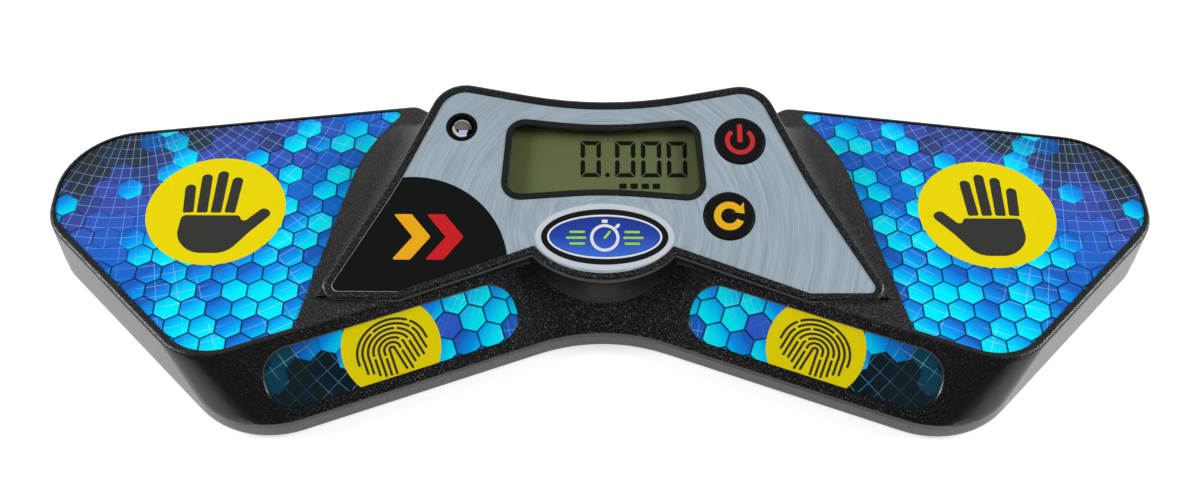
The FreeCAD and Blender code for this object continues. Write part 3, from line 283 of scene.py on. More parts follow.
class Graph:
    """The nodes of a new material or world, built by short calls. A value may be a number, a
    colour or the output of another node."""

    def __init__(self, name, kind="materials"):
        self.owner = getattr(bpy.data, kind).new(name)
        self.owner.use_nodes = True
        self.tree = self.owner.node_tree
        self.shader = self.tree.nodes.get("Principled BSDF")

    def put(self, socket, value):
        if isinstance(value, bpy.types.NodeSocket):
            self.tree.links.new(value, socket)
        elif socket.type == "RGBA":
            socket.default_value = (*value, 1.0)
        else:
            socket.default_value = value

    def node(self, kind, inputs=None, **settings):
        made = self.tree.nodes.new("ShaderNode" + kind)
        for key, value in settings.items():
            setattr(made, key, value)
        for key, value in (inputs or {}).items():
            self.put(made.inputs[key], value)
        return made

    def math(self, operation, a, b=0.0, c=0.0):
        made = self.node("Math", {0: a, 1: b, 2: c}, operation=operation)
        return made.outputs[0]

    def product(self, *values):
        result = values[0]
        for value in values[1:]:
            result = self.math("MULTIPLY", result, value)
        return result

    def line(self, value, slope, start):
        """Start, and slope times the value more."""
        return self.math("MULTIPLY_ADD", value, slope, start)

    def vector(self, operation, a, b=(0.0, 0.0, 0.0)):
        made = self.node("VectorMath", {0: a, 1: b}, operation=operation)
        return made.outputs["Value" if operation in ("LENGTH", "DOT_PRODUCT") else 0]

    def distance(self, a, b):
        return self.vector("LENGTH", self.vector("SUBTRACT", a, tuple(b)))

    def scaled(self, a, factor):
        made = self.node("VectorMath", {0: a, "Scale": factor}, operation="SCALE")
        return made.outputs[0]

    def mix(self, factor, a, b, kind="Color"):
        """a at 0, b at 1. They are two colours, or two vectors if the kind is Vector."""
        made = self.node("Mix", data_type="RGBA" if kind == "Color" else "VECTOR")
        for key, value in (("Factor_Float", factor), ("A_" + kind, a), ("B_" + kind, b)):
            self.put(next(s for s in made.inputs if s.identifier == key), value)
        return next(s for s in made.outputs if s.identifier == "Result_" + kind)

    def shades(self, factor, colour, low, high):
        """A colour that varies between two shares of itself."""
        return self.mix(factor, tuple(low * c for c in colour), tuple(min(1.0, high * c) for c in colour))

    def ramp(self, factor, stops):
        made = self.node("ValToRGB", {0: factor})
        stairs = made.color_ramp.elements
        while len(stairs) < len(stops):
            stairs.new(0.5)
        for stair, (place, colour) in zip(stairs, stops):
            stair.position = place
            stair.color = (*colour, 1.0)
        return made.outputs["Color"]

    def span(self, value, low, high):
        """0 below low, 1 above high, smooth between them."""
        made = self.node("MapRange", {0: value, 1: low, 2: high}, interpolation_type="SMOOTHSTEP")
        return made.outputs[0]

    def place(self):
        """A point's place in the object's own frame, in millimetres."""
        return self.scaled(self.node("TexCoord").outputs["Object"], 1 / MM)

    def noise(self, where, scale, detail=2.0, roughness=0.5):
        made = self.node("TexNoise", {"Vector": where, "Scale": scale, "Detail": detail,
                                      "Roughness": roughness})
        return made.outputs[0]

    def parts(self, vector):
        return self.node("SeparateXYZ", {0: vector}).outputs

    def bump(self, height, distance, strength=1.0):
        made = self.node("Bump", {"Height": height, "Distance": distance * MM,
                                  "Strength": strength})
        return made.outputs[0]

    def finish(self, **sockets):
        """Sets the shader's sockets, named with _ for a space, and gives the material."""
        for key, value in sockets.items():
            self.put(self.shader.inputs[key.replace("_", " ")], value)
        return self.owner


LEVEL = (0.6, 0.8)  # upward part of the normal over which grain and its painted sparkle come in
SHEEN_FACING = (0.96, 0.99)  # and over which the painted sheen on level tops does
STEEP_GRAIN = 0.15  # what steep sides keep of the grain and its painted sparkle
FACETS = (0.59, 0.70)  # noise over which a grain gets a pale painted speck, a painted sparkle
# pale colour of the painted sparkle, which stands in for glints of light
PAINTED_SPARKLE_COLOUR = (0.8, 0.8, 0.82)
GLINT_FALLOFF_LOSS = 0.85  # share of the painted sparkle that fades away over the falloff's distances
BARE_EDGE = 0.5


def moulded(name, colour, roughness, painted_sparkle=0.0, grain=0.27, depth=0.02, shine=0.4, bare=None,
            glint_falloff=None, top_sheen=0.0):
    """Moulded plastic with a fine grain, smoother on its steep sides. Pale specks are painted
    on the grain where it faces up, a painted sparkle in place of glints of light. A bare circle
    on the panel, if given as (x, y, radius), has no grain. A falloff, if given as (place, near,
    far), is where the painted sparkle is whole, and the distances from there over which it
    fades. Level tops have a painted sheen of pale colour."""
    g = Graph(name)
    at = g.place()
    facing = g.parts(g.node("NewGeometry").outputs["Normal"])[2]
    level = g.span(facing, *LEVEL)
    if bare is not None:
        x, y, radius = bare
        reach = g.distance(at, PANEL @ Vector((x, y, 0.0)) / MM)
        level = g.product(level, g.span(reach, radius - BARE_EDGE, radius))
    amount = g.line(level, 1 - STEEP_GRAIN, STEEP_GRAIN)
    # Pale specks painted on the grain where it faces up: a painted sparkle in place of glints of light.
    painted_glints = g.product(g.span(g.noise(at, 1 / grain, 3.0, 0.7), *FACETS), amount)
    # The painted sparkle fades with distance from one place, as the glints of light do.
    if glint_falloff is not None:
        place, near, far = glint_falloff
        painted_glints = g.product(painted_glints, g.line(g.span(g.distance(at, place), near, far), -GLINT_FALLOFF_LOSS, 1.0))
    # Level tops get a painted sheen of pale colour; with the painted sparkle it lightens the base colour.
    pale = g.line(painted_glints, painted_sparkle, g.product(g.span(facing, *SHEEN_FACING), top_sheen))
    base = g.mix(pale, g.shades(g.noise(at, 0.05, 2.0), colour, 0.85, 1.2), PAINTED_SPARKLE_COLOUR)
    fine = g.noise(at, 1 / grain, 2.0, 0.6)
    rough = g.line(level, 0.05, g.line(fine, 0.1, roughness - 0.07))
    return g.finish(Base_Color=base, Roughness=rough, Specular_IOR_Level=shine,
                    Normal=g.bump(g.product(fine, amount), depth))


def face_metal():
    """Pale blue-grey metal, brushed in fine arcs round the tab."""
    g = Graph("face_metal")
    centre = PANEL @ Vector((*TAB_CENTRE, FACE_TOP)) / MM
    spoke = g.vector("SUBTRACT", g.place(), tuple(centre))
    x, y = g.parts(spoke)[:2]
    reach = g.vector("LENGTH", spoke)
    angle = g.math("ARCTAN2", y, x)

    def arcs(fineness, shortness, detail, roughness):
        where = g.node("CombineXYZ", {0: g.product(reach, fineness), 1: g.product(angle, shortness)})
        return g.noise(where.outputs[0], 1.0, detail, roughness)

    lines = arcs(2.2, 1.6, 6.0, 0.7)
    wide = arcs(0.35, 2.3, 3.0, 0.6)
    base = g.ramp(g.line(lines, 0.8, g.product(wide, 0.2)),
                  [(0.3, (0.280, 0.370, 0.432)), (0.5, (0.425, 0.532, 0.610)),
                   (0.7, (0.615, 0.730, 0.800))])
    return g.finish(Base_Color=base, Metallic=0.35, Roughness=g.line(lines, 0.25, 0.28),
                    Specular_IOR_Level=0.3, Normal=g.bump(lines, 0.01, 0.5))


# ---- printed films

FILM_CELL = 6.4  # width of a honeycomb cell
RING_GAP = 3.4
SPOKES = 90
LINE_WIDTH = 0.1
LINE_BLUE = (0.20, 0.50, 0.98)
TILE_LINE_BLUE = (0.40, 0.78, 1.0)
TILE_BLUES = [(0.0, (0.0, 0.86, 1.0)), (0.35, (0.0, 0.60, 0.98)), (0.62, (0.002, 0.32, 0.90)),
              (0.95, (0.008, 0.18, 0.70)), (1.0, (0.012, 0.12, 0.55))]
DARK_TILE = (0.006, 0.055, 0.09)
JOINT = (0.90, 0.945)  # share of the way to a cell's edge over which its joint starts
JOINT_BLUE = (0.006, 0.02, 0.11)
MOST_LIT = 0.94  # share of the cells that are lit where the glow is full
CELL_SPREAD = 0.22  # how much cells differ in shade from the ground about them
SHADE_WOBBLE = 0.5
GLOW_WOBBLE = 1.5
# A film's shade runs from 0 to 1 through the ground's colours. The lines give a level, the
# point that has it and its change per millimetre, for the shade and for the glow.
HAND_FILM = dict(
    location=(0.0, DATUM_Y, 0.0),
    turn=(0.0, 0.0, 0.0),
    shade_line=(0.05, (112.0, -36.0, 0.0), (0.0094, 0.0142, 0.0)),
    glow_line=(0.75, (130.0, -36.0, 0.0), (-0.0072, -0.0125, 0.0)),
    few=0.1,
    ring_centre=(128.0, 34.0, 0.0),
    faint=0.3,
    ground=[(0.0, (0.003, 0.17, 0.68)), (0.3, (0.02, 0.125, 0.60)), (0.5, (0.055, 0.085, 0.46)),
            (0.66, (0.038, 0.052, 0.18)), (0.8, (0.032, 0.038, 0.044)), (1.0, (0.030, 0.032, 0.030))])
FINGER_FILM = dict(
    location=(0.0, DATUM_Y + SLOPE_APEX_Y, SLOPE_FOOT_Z),
    turn=(SLOPE_ANGLE, 0.0, -FRONT_SWEEP),
    shade_line=(0.0, (34.0, 10.0, 0.0), (0.026, -0.003, 0.0)),
    glow_line=(0.95, (30.0, 10.0, 0.0), (-0.021, -0.004, 0.0)),
    few=0.3,
    ring_centre=(20.0, 34.0, 0.0),
    faint=0.12,
    ground=[(0.0, (0.03, 0.11, 0.62)), (0.3, (0.02, 0.13, 0.50)), (0.65, (0.004, 0.03, 0.08)),
            (0.85, (0.004, 0.014, 0.02)), (1.0, (0.008, 0.018, 0.018))])


def honeycomb(g, where, size):
    """Six-sided cells of this width. Gives each cell's number, its centre, a point's place
    from that centre, and how near it is to the cell's edge: 0 at the middle, 1 at the edge."""
    steps = (size, size * math.sqrt(3.0), 1.0)
    grid = g.vector("DIVIDE", where, steps)
    shifted = g.vector("SUBTRACT", grid, (0.5, 0.5, 0.0))
    numbers, offsets, lengths = [], [], []
    for k, spot in enumerate((grid, shifted)):
        whole = g.vector("FLOOR", spot)
        inside = g.vector("SUBTRACT", g.vector("SUBTRACT", spot, whole), (0.5, 0.5, 0.0))
        flat = g.vector("MULTIPLY", inside, (steps[0], steps[1], 0.0))
        numbers.append(g.vector("ADD", whole, (0.5 * k, 0.5 * k, 0.0)))
        offsets.append(flat)
        lengths.append(g.vector("LENGTH", flat))
    second = g.math("LESS_THAN", lengths[1], lengths[0])
    number = g.vector("MULTIPLY", g.mix(second, *numbers, "Vector"), (1.0, 1.0, 0.0))
    offset = g.mix(second, *offsets, "Vector")
    folded = g.vector("ABSOLUTE", offset)
    slanted = g.vector("DOT_PRODUCT", folded, (0.5, math.sqrt(3.0) / 2, 0.0))
    edge = g.math("DIVIDE", g.math("MAXIMUM", slanted, g.parts(folded)[0]), size / 2)
    return number, g.vector("SUBTRACT", where, offset), offset, edge


def field(g, where, line, wobble):
    """A value that has a level at a point and changes along a direction, with a soft random
    wobble. The line is that level, point and change per millimetre."""
    level, origin, change = line
    run = g.vector("DOT_PRODUCT", g.vector("SUBTRACT", where, origin), change)
    soft = g.math("SUBTRACT", g.noise(where, 0.06, 1.0), 0.5)
    return g.math("ADD", g.line(soft, wobble, run), level)


def thin_lines(g, where, centre):
    """1 on thin rings round a centre and on spokes from it."""
    spoke = g.vector("SUBTRACT", where, centre)
    reach = g.vector("LENGTH", spoke)
    x, y = g.parts(spoke)[:2]

    def from_middle(value):
        return g.math("ABSOLUTE", g.math("SUBTRACT", g.math("FRACT", value), 0.5))

    turns = g.product(g.math("ARCTAN2", y, x), SPOKES / math.tau)
    across = g.product(from_middle(turns), g.product(reach, math.tau / SPOKES))
    ring = g.product(from_middle(g.math("DIVIDE", reach, RING_GAP)), RING_GAP)
    near = g.math("MINIMUM", across, ring)
    return g.math("SUBTRACT", 1.0, g.span(near, 0.4 * LINE_WIDTH, LINE_WIDTH))


def film_place(g, location, turn):
    """Place on a film's plane, in millimetres, alike on both sides of the timer."""
    x, y, z = g.parts(g.node("TexCoord").outputs["Object"])
    folded = g.node("CombineXYZ", {0: g.math("ABSOLUTE", x), 1: y, 2: z}).outputs[0]
    local = g.node("Mapping", {"Vector": folded, "Location": [v * MM for v in location],
                               "Rotation": turn}, vector_type="TEXTURE").outputs[0]
    return g.vector("MULTIPLY", g.scaled(local, 1 / MM), (1.0, 1.0, 0.0))


def film_ground(g, shade, cell_shade, lines, faint, ground):
    """The ground's colour, which its lines cross faintly at its two ends."""
    colour = g.mix(0.7, g.ramp(shade, ground), g.ramp(cell_shade, ground))
    strong = g.product(g.span(shade, -0.1, 0.45), g.line(g.span(shade, 0.7, 1.1), faint - 1.0, 1.0))
    return g.mix(g.product(lines, strong, 0.75), colour, LINE_BLUE)


def film_tile(g, where, offset, hue, glow, cell_shade, lines):
    """The colour of lit cells: each has its own blue, which changes a little across it."""
    slant = g.vector("DOT_PRODUCT", offset, (0.25, 0.3, 0.0))
    own = g.line(g.math("SUBTRACT", 1.0, glow), 0.35, hue)
    tile = g.ramp(g.math("ADD", g.math("DIVIDE", slant, FILM_CELL / 2), own), TILE_BLUES)
    tile = g.mix(g.span(cell_shade, 0.7, 1.2), tile, DARK_TILE)
    veil = g.product(lines, g.span(g.noise(where, 0.07, 1.0), 0.42, 0.6))
    return g.mix(g.product(veil, 0.5), tile, TILE_LINE_BLUE)


def film_print(name, location, turn, shade_line, glow_line, few, ring_centre, faint, ground):
    """Glossy film printed with a honeycomb. Its ground fades from blue to dark, and some of
    its cells are lit in cyan and azure, a few of them even where it is dark. Thin pale rings
    and spokes cross the ground. Both sides of the timer are alike."""
    g = Graph(name)
    where = film_place(g, location, turn)
    number, centre, offset, edge = honeycomb(g, where, FILM_CELL)
    chance = g.node("TexWhiteNoise", {"Vector": number}, noise_dimensions="2D").outputs["Color"]
    lot, hue, tint = g.parts(chance)
    shade = field(g, where, shade_line, SHADE_WOBBLE)
    cell_shade = g.line(g.math("SUBTRACT", tint, 0.5), CELL_SPREAD,
                        field(g, centre, shade_line, SHADE_WOBBLE))
    glow = g.line(g.span(field(g, centre, glow_line, GLOW_WOBBLE), 0.25, 0.8), MOST_LIT - few, few)
    lines = thin_lines(g, where, ring_centre)
    colour = g.mix(g.math("LESS_THAN", lot, glow),
                   film_ground(g, shade, cell_shade, lines, faint, ground),
                   film_tile(g, where, offset, hue, glow, cell_shade, lines))
    joint = g.product(g.span(edge, *JOINT), g.line(g.span(glow, 0.3, 0.8), 0.6, 0.3))
    return g.finish(Base_Color=g.mix(joint, colour, JOINT_BLUE), Specular_IOR_Level=0.1,
                    Roughness=g.line(g.noise(g.place(), 0.12, 3.0), 0.12, 0.24),
                    Normal=g.bump(g.noise(g.place(), 0.6, 2.0), 0.004, 0.4))


# ---- plainer materials

CLEAR_COATING = 1.08  # how much more than their straight reflection clear parts lose


def ink(name, colour, roughness=0.35, shine=0.2):
    """A printed ink, faintly uneven."""
    g = Graph(name)
    at = g.place()
    even = g.noise(at, 0.4, 3.0)
    return g.finish(Base_Color=g.shades(even, colour, 0.96, 1.04),
                    Roughness=g.line(even, 0.1, roughness - 0.05),
                    Specular_IOR_Level=shine, Normal=g.bump(g.noise(at, 5.0, 2.0), 0.002, 0.5))


def plain(name, colour, roughness, metallic=0.0, depth=0.004):
    """A simple finish with a little unevenness in colour and gloss."""
    g = Graph(name)
    even = g.noise(g.place(), 1 / 1.5, 3.0)
    return g.finish(Base_Color=g.shades(even, colour, 0.9, 1.1),
                    Roughness=g.line(even, 0.15, max(0.0, roughness - 0.07)),
                    Metallic=metallic, Normal=g.bump(even, depth, 0.6))


def lcd_face():
    """Olive reflective display, with painted shade: darker towards its back and its left edge, where the
    window's frame shades it.
    """
    g = Graph("lcd_glass")
    at = g.place()
    low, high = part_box("lcd_panel")
    x, y = g.parts(at)[:2]
    # Painted shade: the display is darker towards the back and the left, in place of the frame's shadow.
    rise = g.span(y, low.y / MM, high.y / MM)
    side = g.span(x, low.x / MM, high.x / MM)
    base = g.mix(rise, (0.166, 0.200, 0.081), (0.142, 0.172, 0.065))
    base = g.mix(g.product(side, 0.35), base, (0.175, 0.205, 0.098))
    fine = g.noise(at, 3.0, 2.0)
    base = g.mix(g.product(fine, 0.08), base, (0.22, 0.25, 0.14))
    return g.finish(Base_Color=base, Roughness=g.line(fine, 0.1, 0.3), Specular_IOR_Level=0.15)


def clear_sheet(name, gloss, roughness=0.04):
    """Clear plastic: what lies behind it shows through, and it shines at a flat angle."""
    g = Graph(name)
    streak = g.noise(g.place(), 0.08, 2.0)
    g.finish(Base_Color=(1.0, 1.0, 1.0), Metallic=1.0, Roughness=g.line(streak, 0.03, roughness))
    through = g.node("BsdfTransparent", {"Color": (0.97, 0.98, 0.97)})
    straight = ((gloss - 1) / (gloss + 1)) ** 2
    inside = g.node("NewGeometry").outputs["Backfacing"]
    ratio = g.line(inside, 1 / gloss - gloss, gloss)
    share = g.math("SUBTRACT", g.node("Fresnel", {"IOR": ratio}).outputs[0], CLEAR_COATING * straight)
    either = g.node("MixShader", {0: g.math("MAXIMUM", share, 0.0), 1: through.outputs[0],
                                  2: g.shader.outputs[0]})
    g.put(g.tree.nodes["Material Output"].inputs["Surface"], either.outputs[0])
    return g.owner


def enamel():
    """Deep blue enamel, lighter towards its lower edge, under a clear coat."""
    g = Graph("badge_enamel")
    centre = PANEL @ Vector((*BADGE_AT, FACE_TOP)) / MM
    y = g.parts(g.vector("SUBTRACT", g.place(), tuple(centre)))[1]
    lift = g.line(g.noise(g.place(), 0.15, 2.0), 1.5, y)
    base = g.ramp(g.line(lift, -0.07, 0.5),
                  [(0.0, (0.010, 0.03, 0.22)), (0.45, (0.016, 0.06, 0.42)),
                   (0.8, (0.05, 0.16, 0.72)), (1.0, (0.10, 0.28, 0.85))])
    fleck = g.noise(g.place(), 6.0, 2.0)
    return g.finish(Base_Color=base, Roughness=g.line(fleck, 0.1, 0.22),
                    Specular_IOR_Level=0.2, Coat_Weight=0.25, Coat_Roughness=0.06)


# ---- touch pads: discs, signs and seats

HAND_DISC_AT = (101.2, -12.7)
HAND_DISC_RADIUS = 18.1
FINGER_DISC_AT = (53.6, 10.3)
FINGER_DISC_RADIUS = 12.5
FINGER_CUT = (-0.05, 1.0)  # heights from the film that its disc is cut out between
PALM = [(-4.6, -14.2, 6.5), (4.6, -14.2, 6.0), (9.6, -7.2, 9.0), (14.9, -0.9, 1.5), (12.4, 1.2, 1.4),
        (7.3, -4.4, 1.0), (6.5, -1.7, 1.1), (-8.6, -1.7, 1.3), (-9.0, -9.5, 7.0)]
FINGERS = ((-7.1, 9.6, 4.0), (-3.5, 13.2, 1.5), (0.1, 14.3, -1.0), (3.7, 12.2, -3.5))  # x, length, lean
FINGER_WIDTH = 2.75
FINGERS_LOW = -0.8
FINGER_FOOT = 0.5  # corner radius of a finger's lower end
RIDGES = 7  # of a fingerprint
RIDGE_FIRST = 0.55  # radius of the innermost one
RIDGE_PITCH = 1.13
RIDGE_WIDTH = 0.62
RIDGE_STRETCH = 1.22  # sideways
RIDGE_BREAK = 1.15
TAIL_SPLAY = 0.12
TAIL_CHANCE = (-0.9, 0.3)
BREAK_CHANCES = ((0.2, 0.4), (0.6, 0.85))
TAIL_REACH = (9.4, 7.4, 1.2)  # oval that tails end in: half its width, its depth, a margin
FINGERPRINT_DROP = -0.6
FINGERPRINT_LEAN = -8.0
FINGERPRINT_SEED = 11
FINGER_FILM_LOW = (20.2, 2.7)
FINGER_FILM_HIGH = (85.9, 18.3)
FINGER_FILM_CORNER = 7.2
SEAT_WIDTH = 0.34  # of the slanting seat round each finger film
SEAT_HEIGHT = 0.22
SEAT_FOOT = -0.05
SEAT_LIP = 0.02  # from the film's edge to the seat's crest
SEAT_SHARP = math.radians(20)


def hand_outlines():
    """An open left hand about the middle of its disc, thumb to the right."""
    half = FINGER_WIDTH / 2
    fingers = [moved(bar(-half, 0.0, half, length, FINGER_FOOT, half - 0.05), (x, FINGERS_LOW), lean)
               for x, length, lean in FINGERS]
    return [rounded(PALM)] + fingers


def ridge(radius, tail_left, tail_right):
    """One line of a fingerprint: an arch with a tail down each side."""
    wide = RIDGE_STRETCH * radius

    def tail(sign, lengths):
        return [(sign * (wide + TAIL_SPLAY * t), -t) for t in lengths if t > 0]

    top = [(RIDGE_STRETCH * x, y) for x, y in arc(MIDDLE, radius, 180, 0, 30)]
    return tail(-1, (tail_left, tail_left / 2)) + top + tail(1, (tail_right / 2, tail_right))


def broken(points, places, gap):
    """Parts of a line left by gaps of a width about some shares of its length."""
    lengths = [0.0]
    for one, other in zip(points, points[1:]):
        lengths.append(lengths[-1] + math.dist(one, other))
    total = lengths[-1]
    bounds = [0.0]
    for share in places:
        bounds += [share * total - gap / 2, share * total + gap / 2]
    bounds.append(total)
    result = []
    for start, end in zip(bounds[::2], bounds[1::2]):
        inner = [p for p, at in zip(points, lengths) if start < at < end]
        result.append([along(points, lengths, start)] + inner + [along(points, lengths, end)])
    return result


def along(points, lengths, reach):
    """The point of a line at this length from its start."""
    for k in range(len(points) - 1):
        if lengths[k + 1] >= reach:
            share = (reach - lengths[k]) / (lengths[k + 1] - lengths[k])
            (x0, y0), (x1, y1) = points[k], points[k + 1]
            return (x0 + share * (x1 - x0), y0 + share * (y1 - y0))
    return points[-1]


def fingerprint_outlines():
    """Nested arches with tails and breaks, about the middle of their disc."""
    chance = random.Random(FINGERPRINT_SEED)
    half, deep, margin = TAIL_REACH
    lines = []
    for k in range(RIDGES):
        radius = RIDGE_FIRST + RIDGE_PITCH * k
        wide = RIDGE_STRETCH * radius
        room = deep * math.sqrt(max(0.0, 1 - (wide / half) ** 2)) - margin
        left, right = (max(0.0, room + chance.uniform(*TAIL_CHANCE)) for _ in range(2))
        places = [chance.uniform(*share) for share in BREAK_CHANCES][:1 + k % 2] if k > 0 else []
        for part in broken(ridge(radius, left, right), places, RIDGE_BREAK):
            lines.append(stroke(moved(part, (0.0, FINGERPRINT_DROP), FINGERPRINT_LEAN), RIDGE_WIDTH))
    return lines


def hand_disc(side, sign, yellow, dark):
    at = (sign * HAND_DISC_AT[0], HAND_DISC_AT[1])
    disc = circle(MIDDLE, HAND_DISC_RADIUS)
    add_marks("hand_disc_" + side, [disc], at, PLAN, HAND_FILM_TOP, yellow, "pad_print")
    add_marks("hand_sign_" + side, hand_outlines(), at, PLAN, HAND_FILM_TOP + PRINT, dark,
              "pad_print", mirror=-sign)


def finger_disc(side, sign, yellow, dark):
    """The disc ends where the film under it does."""
    at = (sign * FINGER_DISC_AT[0], FINGER_DISC_AT[1])
    low, high = (FINGER_FILM_TOP + height for height in FINGER_CUT)
    tool = flat_mesh("tool", [circle(at, FINGER_DISC_RADIUS)], SLOPE[sign], low, high)
    disc = clipped("finger_disc_" + side, tool, "finger_overlay_" + side, raised(SLOPE[sign], PRINT))
    add_piece("finger_disc_" + side, disc, yellow, "pad_print")
    add_marks("finger_sign_" + side, fingerprint_outlines(), at, SLOPE[sign], FINGER_FILM_TOP + PRINT,
              dark, "pad_print", mirror=sign)


def touch_discs():
    yellow = ink("print_yellow", (0.83, 0.685, 0.003), shine=0.02)
    dark = ink("print_dark", (0.040, 0.040, 0.036), shine=0.02)
    for side, sign in SIDES.items():
        hand_disc(side, sign, yellow, dark)
        finger_disc(side, sign, yellow, dark)


def seat_mesh(name, place, level, sign):
    """A slanting seat along the edge of a finger film, lower on its inside."""
    profile = ((0.0, SEAT_FOOT), (SEAT_LIP, SEAT_HEIGHT), (SEAT_WIDTH, 0.0), (SEAT_WIDTH, SEAT_FOOT))
    low, high = FINGER_FILM_LOW, FINGER_FILM_HIGH
    spots, faces = [], []
    for inset, rise in profile:
        ring = bar(low[0] + inset, low[1] + inset, high[0] - inset, high[1] - inset,
                   FINGER_FILM_CORNER - inset, steps=16)
        spots += [place @ Vector((sign * x, y, level + rise)) for x, y in ring]
    for k in range(len(profile)):
        faces += band(len(spots) // len(profile), k, (k + 1) % len(profile))
    mesh = new_mesh(name, spots, faces)
    mesh.shade_smooth()
    mesh.set_sharp_from_angle(angle=SEAT_SHARP)
    return mesh


def film_edges():
    """Seats round the finger films, which catch the light."""
    gloss = plain("seat_black", (0.004, 0.004, 0.004), 0.22, depth=0.001)
    for side, sign in SIDES.items():
        mesh = seat_mesh("film_seat_" + side, SLOPE[sign], FINGER_FILM_TOP, sign)
        add_piece("film_seat_" + side, mesh, gloss, "case_black")


# ---- face plate: corner print and badge

CORNER_DISC_AT = (-49.2, -35.5)
CORNER_DISC_RADIUS = 24.9
CORNER_CUT = (FACE_TOP - 0.02, 1.0)
CORNER_PIVOT = (60.0, 5.0, FACE_TOP)
CORNER_INSET = 0.0026  # share by which the corner print shrinks, and bares the plate's edge
ARROWHEADS_AT = (-49.0, -27.2)
ARROWHEAD_STEP = 8.4
ARROWHEAD = (4.6, 12.4, 5.0)  # width of its bar, height, reach of its point
ARROWHEAD_COLOURS = {"amber": (0.88, 0.42, 0.008), "red": (0.62, 0.012, 0.018)}
BADGE_AT = (0.2, -27.0)
BADGE_HALF = (16.2, 7.6)
BADGE_BORDER = 1.5  # width of the pale border round its black rim
BADGE_RIM = 1.55  # widths of its black rim alone and with its silver line
BADGE_LINE = 2.05
BADGE_RISES = (0.03, 0.06, 0.10)  # of border, rim and silver line over the plate
BADGE_FOOT = 0.05  # of the enamel over the plate
DOME_HALF = tuple(half - BADGE_LINE for half in BADGE_HALF)
DOME_RISE = 0.16
WATCH_DROP = 0.35  # of the stopwatch below the badge's middle
WATCH_RADII = (3.75, 2.95)
WATCH_CROWN = (-0.75, 4.1, 0.75, 5.0, 0.2)  # a bar, with its corner radius
WATCH_LUG = ((2.95, 2.95), (3.5, 3.5))
WATCH_LUG_WIDTH = 0.8
WATCH_HAND = ((0.0, 0.0), (1.25, 1.6))
DASH_PITCH = 1.6
DASH_WIDTH = 0.62
DASH_ENDS = (5.0, 9.6)  # from the stopwatch's middle
DASH_TRIMS = (0.3, -0.9)  # what the upper and lower ones move these by


def arrowhead():
    wide, tall, point = ARROWHEAD
    half = tall / 2
    return rounded([(-wide, half, 0.3), (0.0, half, 0.5), (point, 0.0, 0.6), (0.0, -half, 0.5),
                    (-wide, -half, 0.3), (point - wide, 0.0, 0.5)])


def corner_print():
    """Black round-edged print on the lower left of the face plate, with two arrowheads."""
    tool = flat_mesh("tool", [circle(CORNER_DISC_AT, CORNER_DISC_RADIUS, 160)], PANEL, *CORNER_CUT)
    pivot = Matrix.Translation(PANEL @ Vector(CORNER_PIVOT))
    shrink = pivot @ Matrix.Scale(1 - CORNER_INSET, 4) @ pivot.inverted()
    mesh = clipped("corner_print", tool, "face_plate", raised(PANEL, PRINT) @ shrink)
    add_piece("corner_print", mesh, ink("print_black", (0.006, 0.0065, 0.007), 0.35, 0.1), "face_metal")
    for k, (name, colour) in enumerate(ARROWHEAD_COLOURS.items()):
        at = (ARROWHEADS_AT[0] + ARROWHEAD_STEP * k, ARROWHEADS_AT[1])
        add_marks("arrowhead_" + name, [arrowhead()], at, PANEL, FACE_TOP + PRINT,
                  ink("print_" + name, colour, 0.35), "face_metal")


def draped(mesh):
    """Raises each point of a mesh by the height of the badge's dome there."""
    back = PANEL.inverted()
    for vertex in mesh.vertices:
        spot = back @ vertex.co
        reach = math.hypot(*((v - middle) / half for v, middle, half in zip(spot, BADGE_AT, DOME_HALF)))
        spot.z += DOME_RISE * math.sqrt(max(0.0, 1 - reach * reach))
        vertex.co = PANEL @ spot
    return mesh


def badge_oval(inset):
    wide = BADGE_HALF[0] - inset
    deep = BADGE_HALF[1] - inset
    return circle(BADGE_AT, wide, 128, deep / wide)


def badge_part(name, outlines, low, high, material):
    """A flat part of the badge between two heights over the face plate."""
    mesh = flat_mesh(name, outlines, PANEL, FACE_TOP + low, FACE_TOP + high)
    add_piece(name, mesh, material, "face_metal")


def badge_marks(name, shapes, material):
    """Marks printed on the badge's domed enamel, from its middle."""
    at = (BADGE_AT[0], BADGE_AT[1] - WATCH_DROP)
    shapes = [[moved(line, at) for line in shape] for shape in shapes]
    mesh = printed(name, shapes, PANEL, FACE_TOP + BADGE_FOOT)
    add_piece(name, draped(mesh), material, "face_metal")


def badge():
    """Enamelled oval on the tab with a plain stopwatch, in place of a maker's sign."""
    border, rim, line = BADGE_RISES
    silver = ink("badge_silver", (0.78, 0.80, 0.83), 0.25)
    badge_part("badge_border", [badge_oval(-BADGE_BORDER)], 0.0, border,
               ink("badge_pale", (0.60, 0.65, 0.70), 0.3))
    badge_part("badge_rim", [badge_oval(0.0)], 0.0, rim, ink("badge_black", (0.006, 0.007, 0.010), 0.3))
    badge_part("badge_line", [badge_oval(BADGE_RIM), badge_oval(BADGE_LINE)], rim, line, silver)
    dome = domed_mesh("badge_enamel", BADGE_AT, DOME_HALF, PANEL, FACE_TOP + BADGE_FOOT, DOME_RISE)
    add_piece("badge_enamel", dome, enamel(), "face_metal")
    dial = [circle(MIDDLE, radius, 64) for radius in WATCH_RADII]
    lug = stroke(WATCH_LUG, WATCH_LUG_WIDTH)
    badge_marks("badge_stopwatch", [dial, [bar(*WATCH_CROWN)], [lug]], silver)
    lines = [WATCH_HAND]
    for side in (-1, 1):
        for k in (-1, 0, 1):
            lines.append([(side * (end + abs(k) * trim), DASH_PITCH * k)
                          for end, trim in zip(DASH_ENDS, DASH_TRIMS)])
    badge_marks("badge_dashes", [[stroke(line, DASH_WIDTH)] for line in lines],
                ink("badge_green", (0.36, 0.72, 0.03), 0.3))


# ---- buttons, lamp and battery door

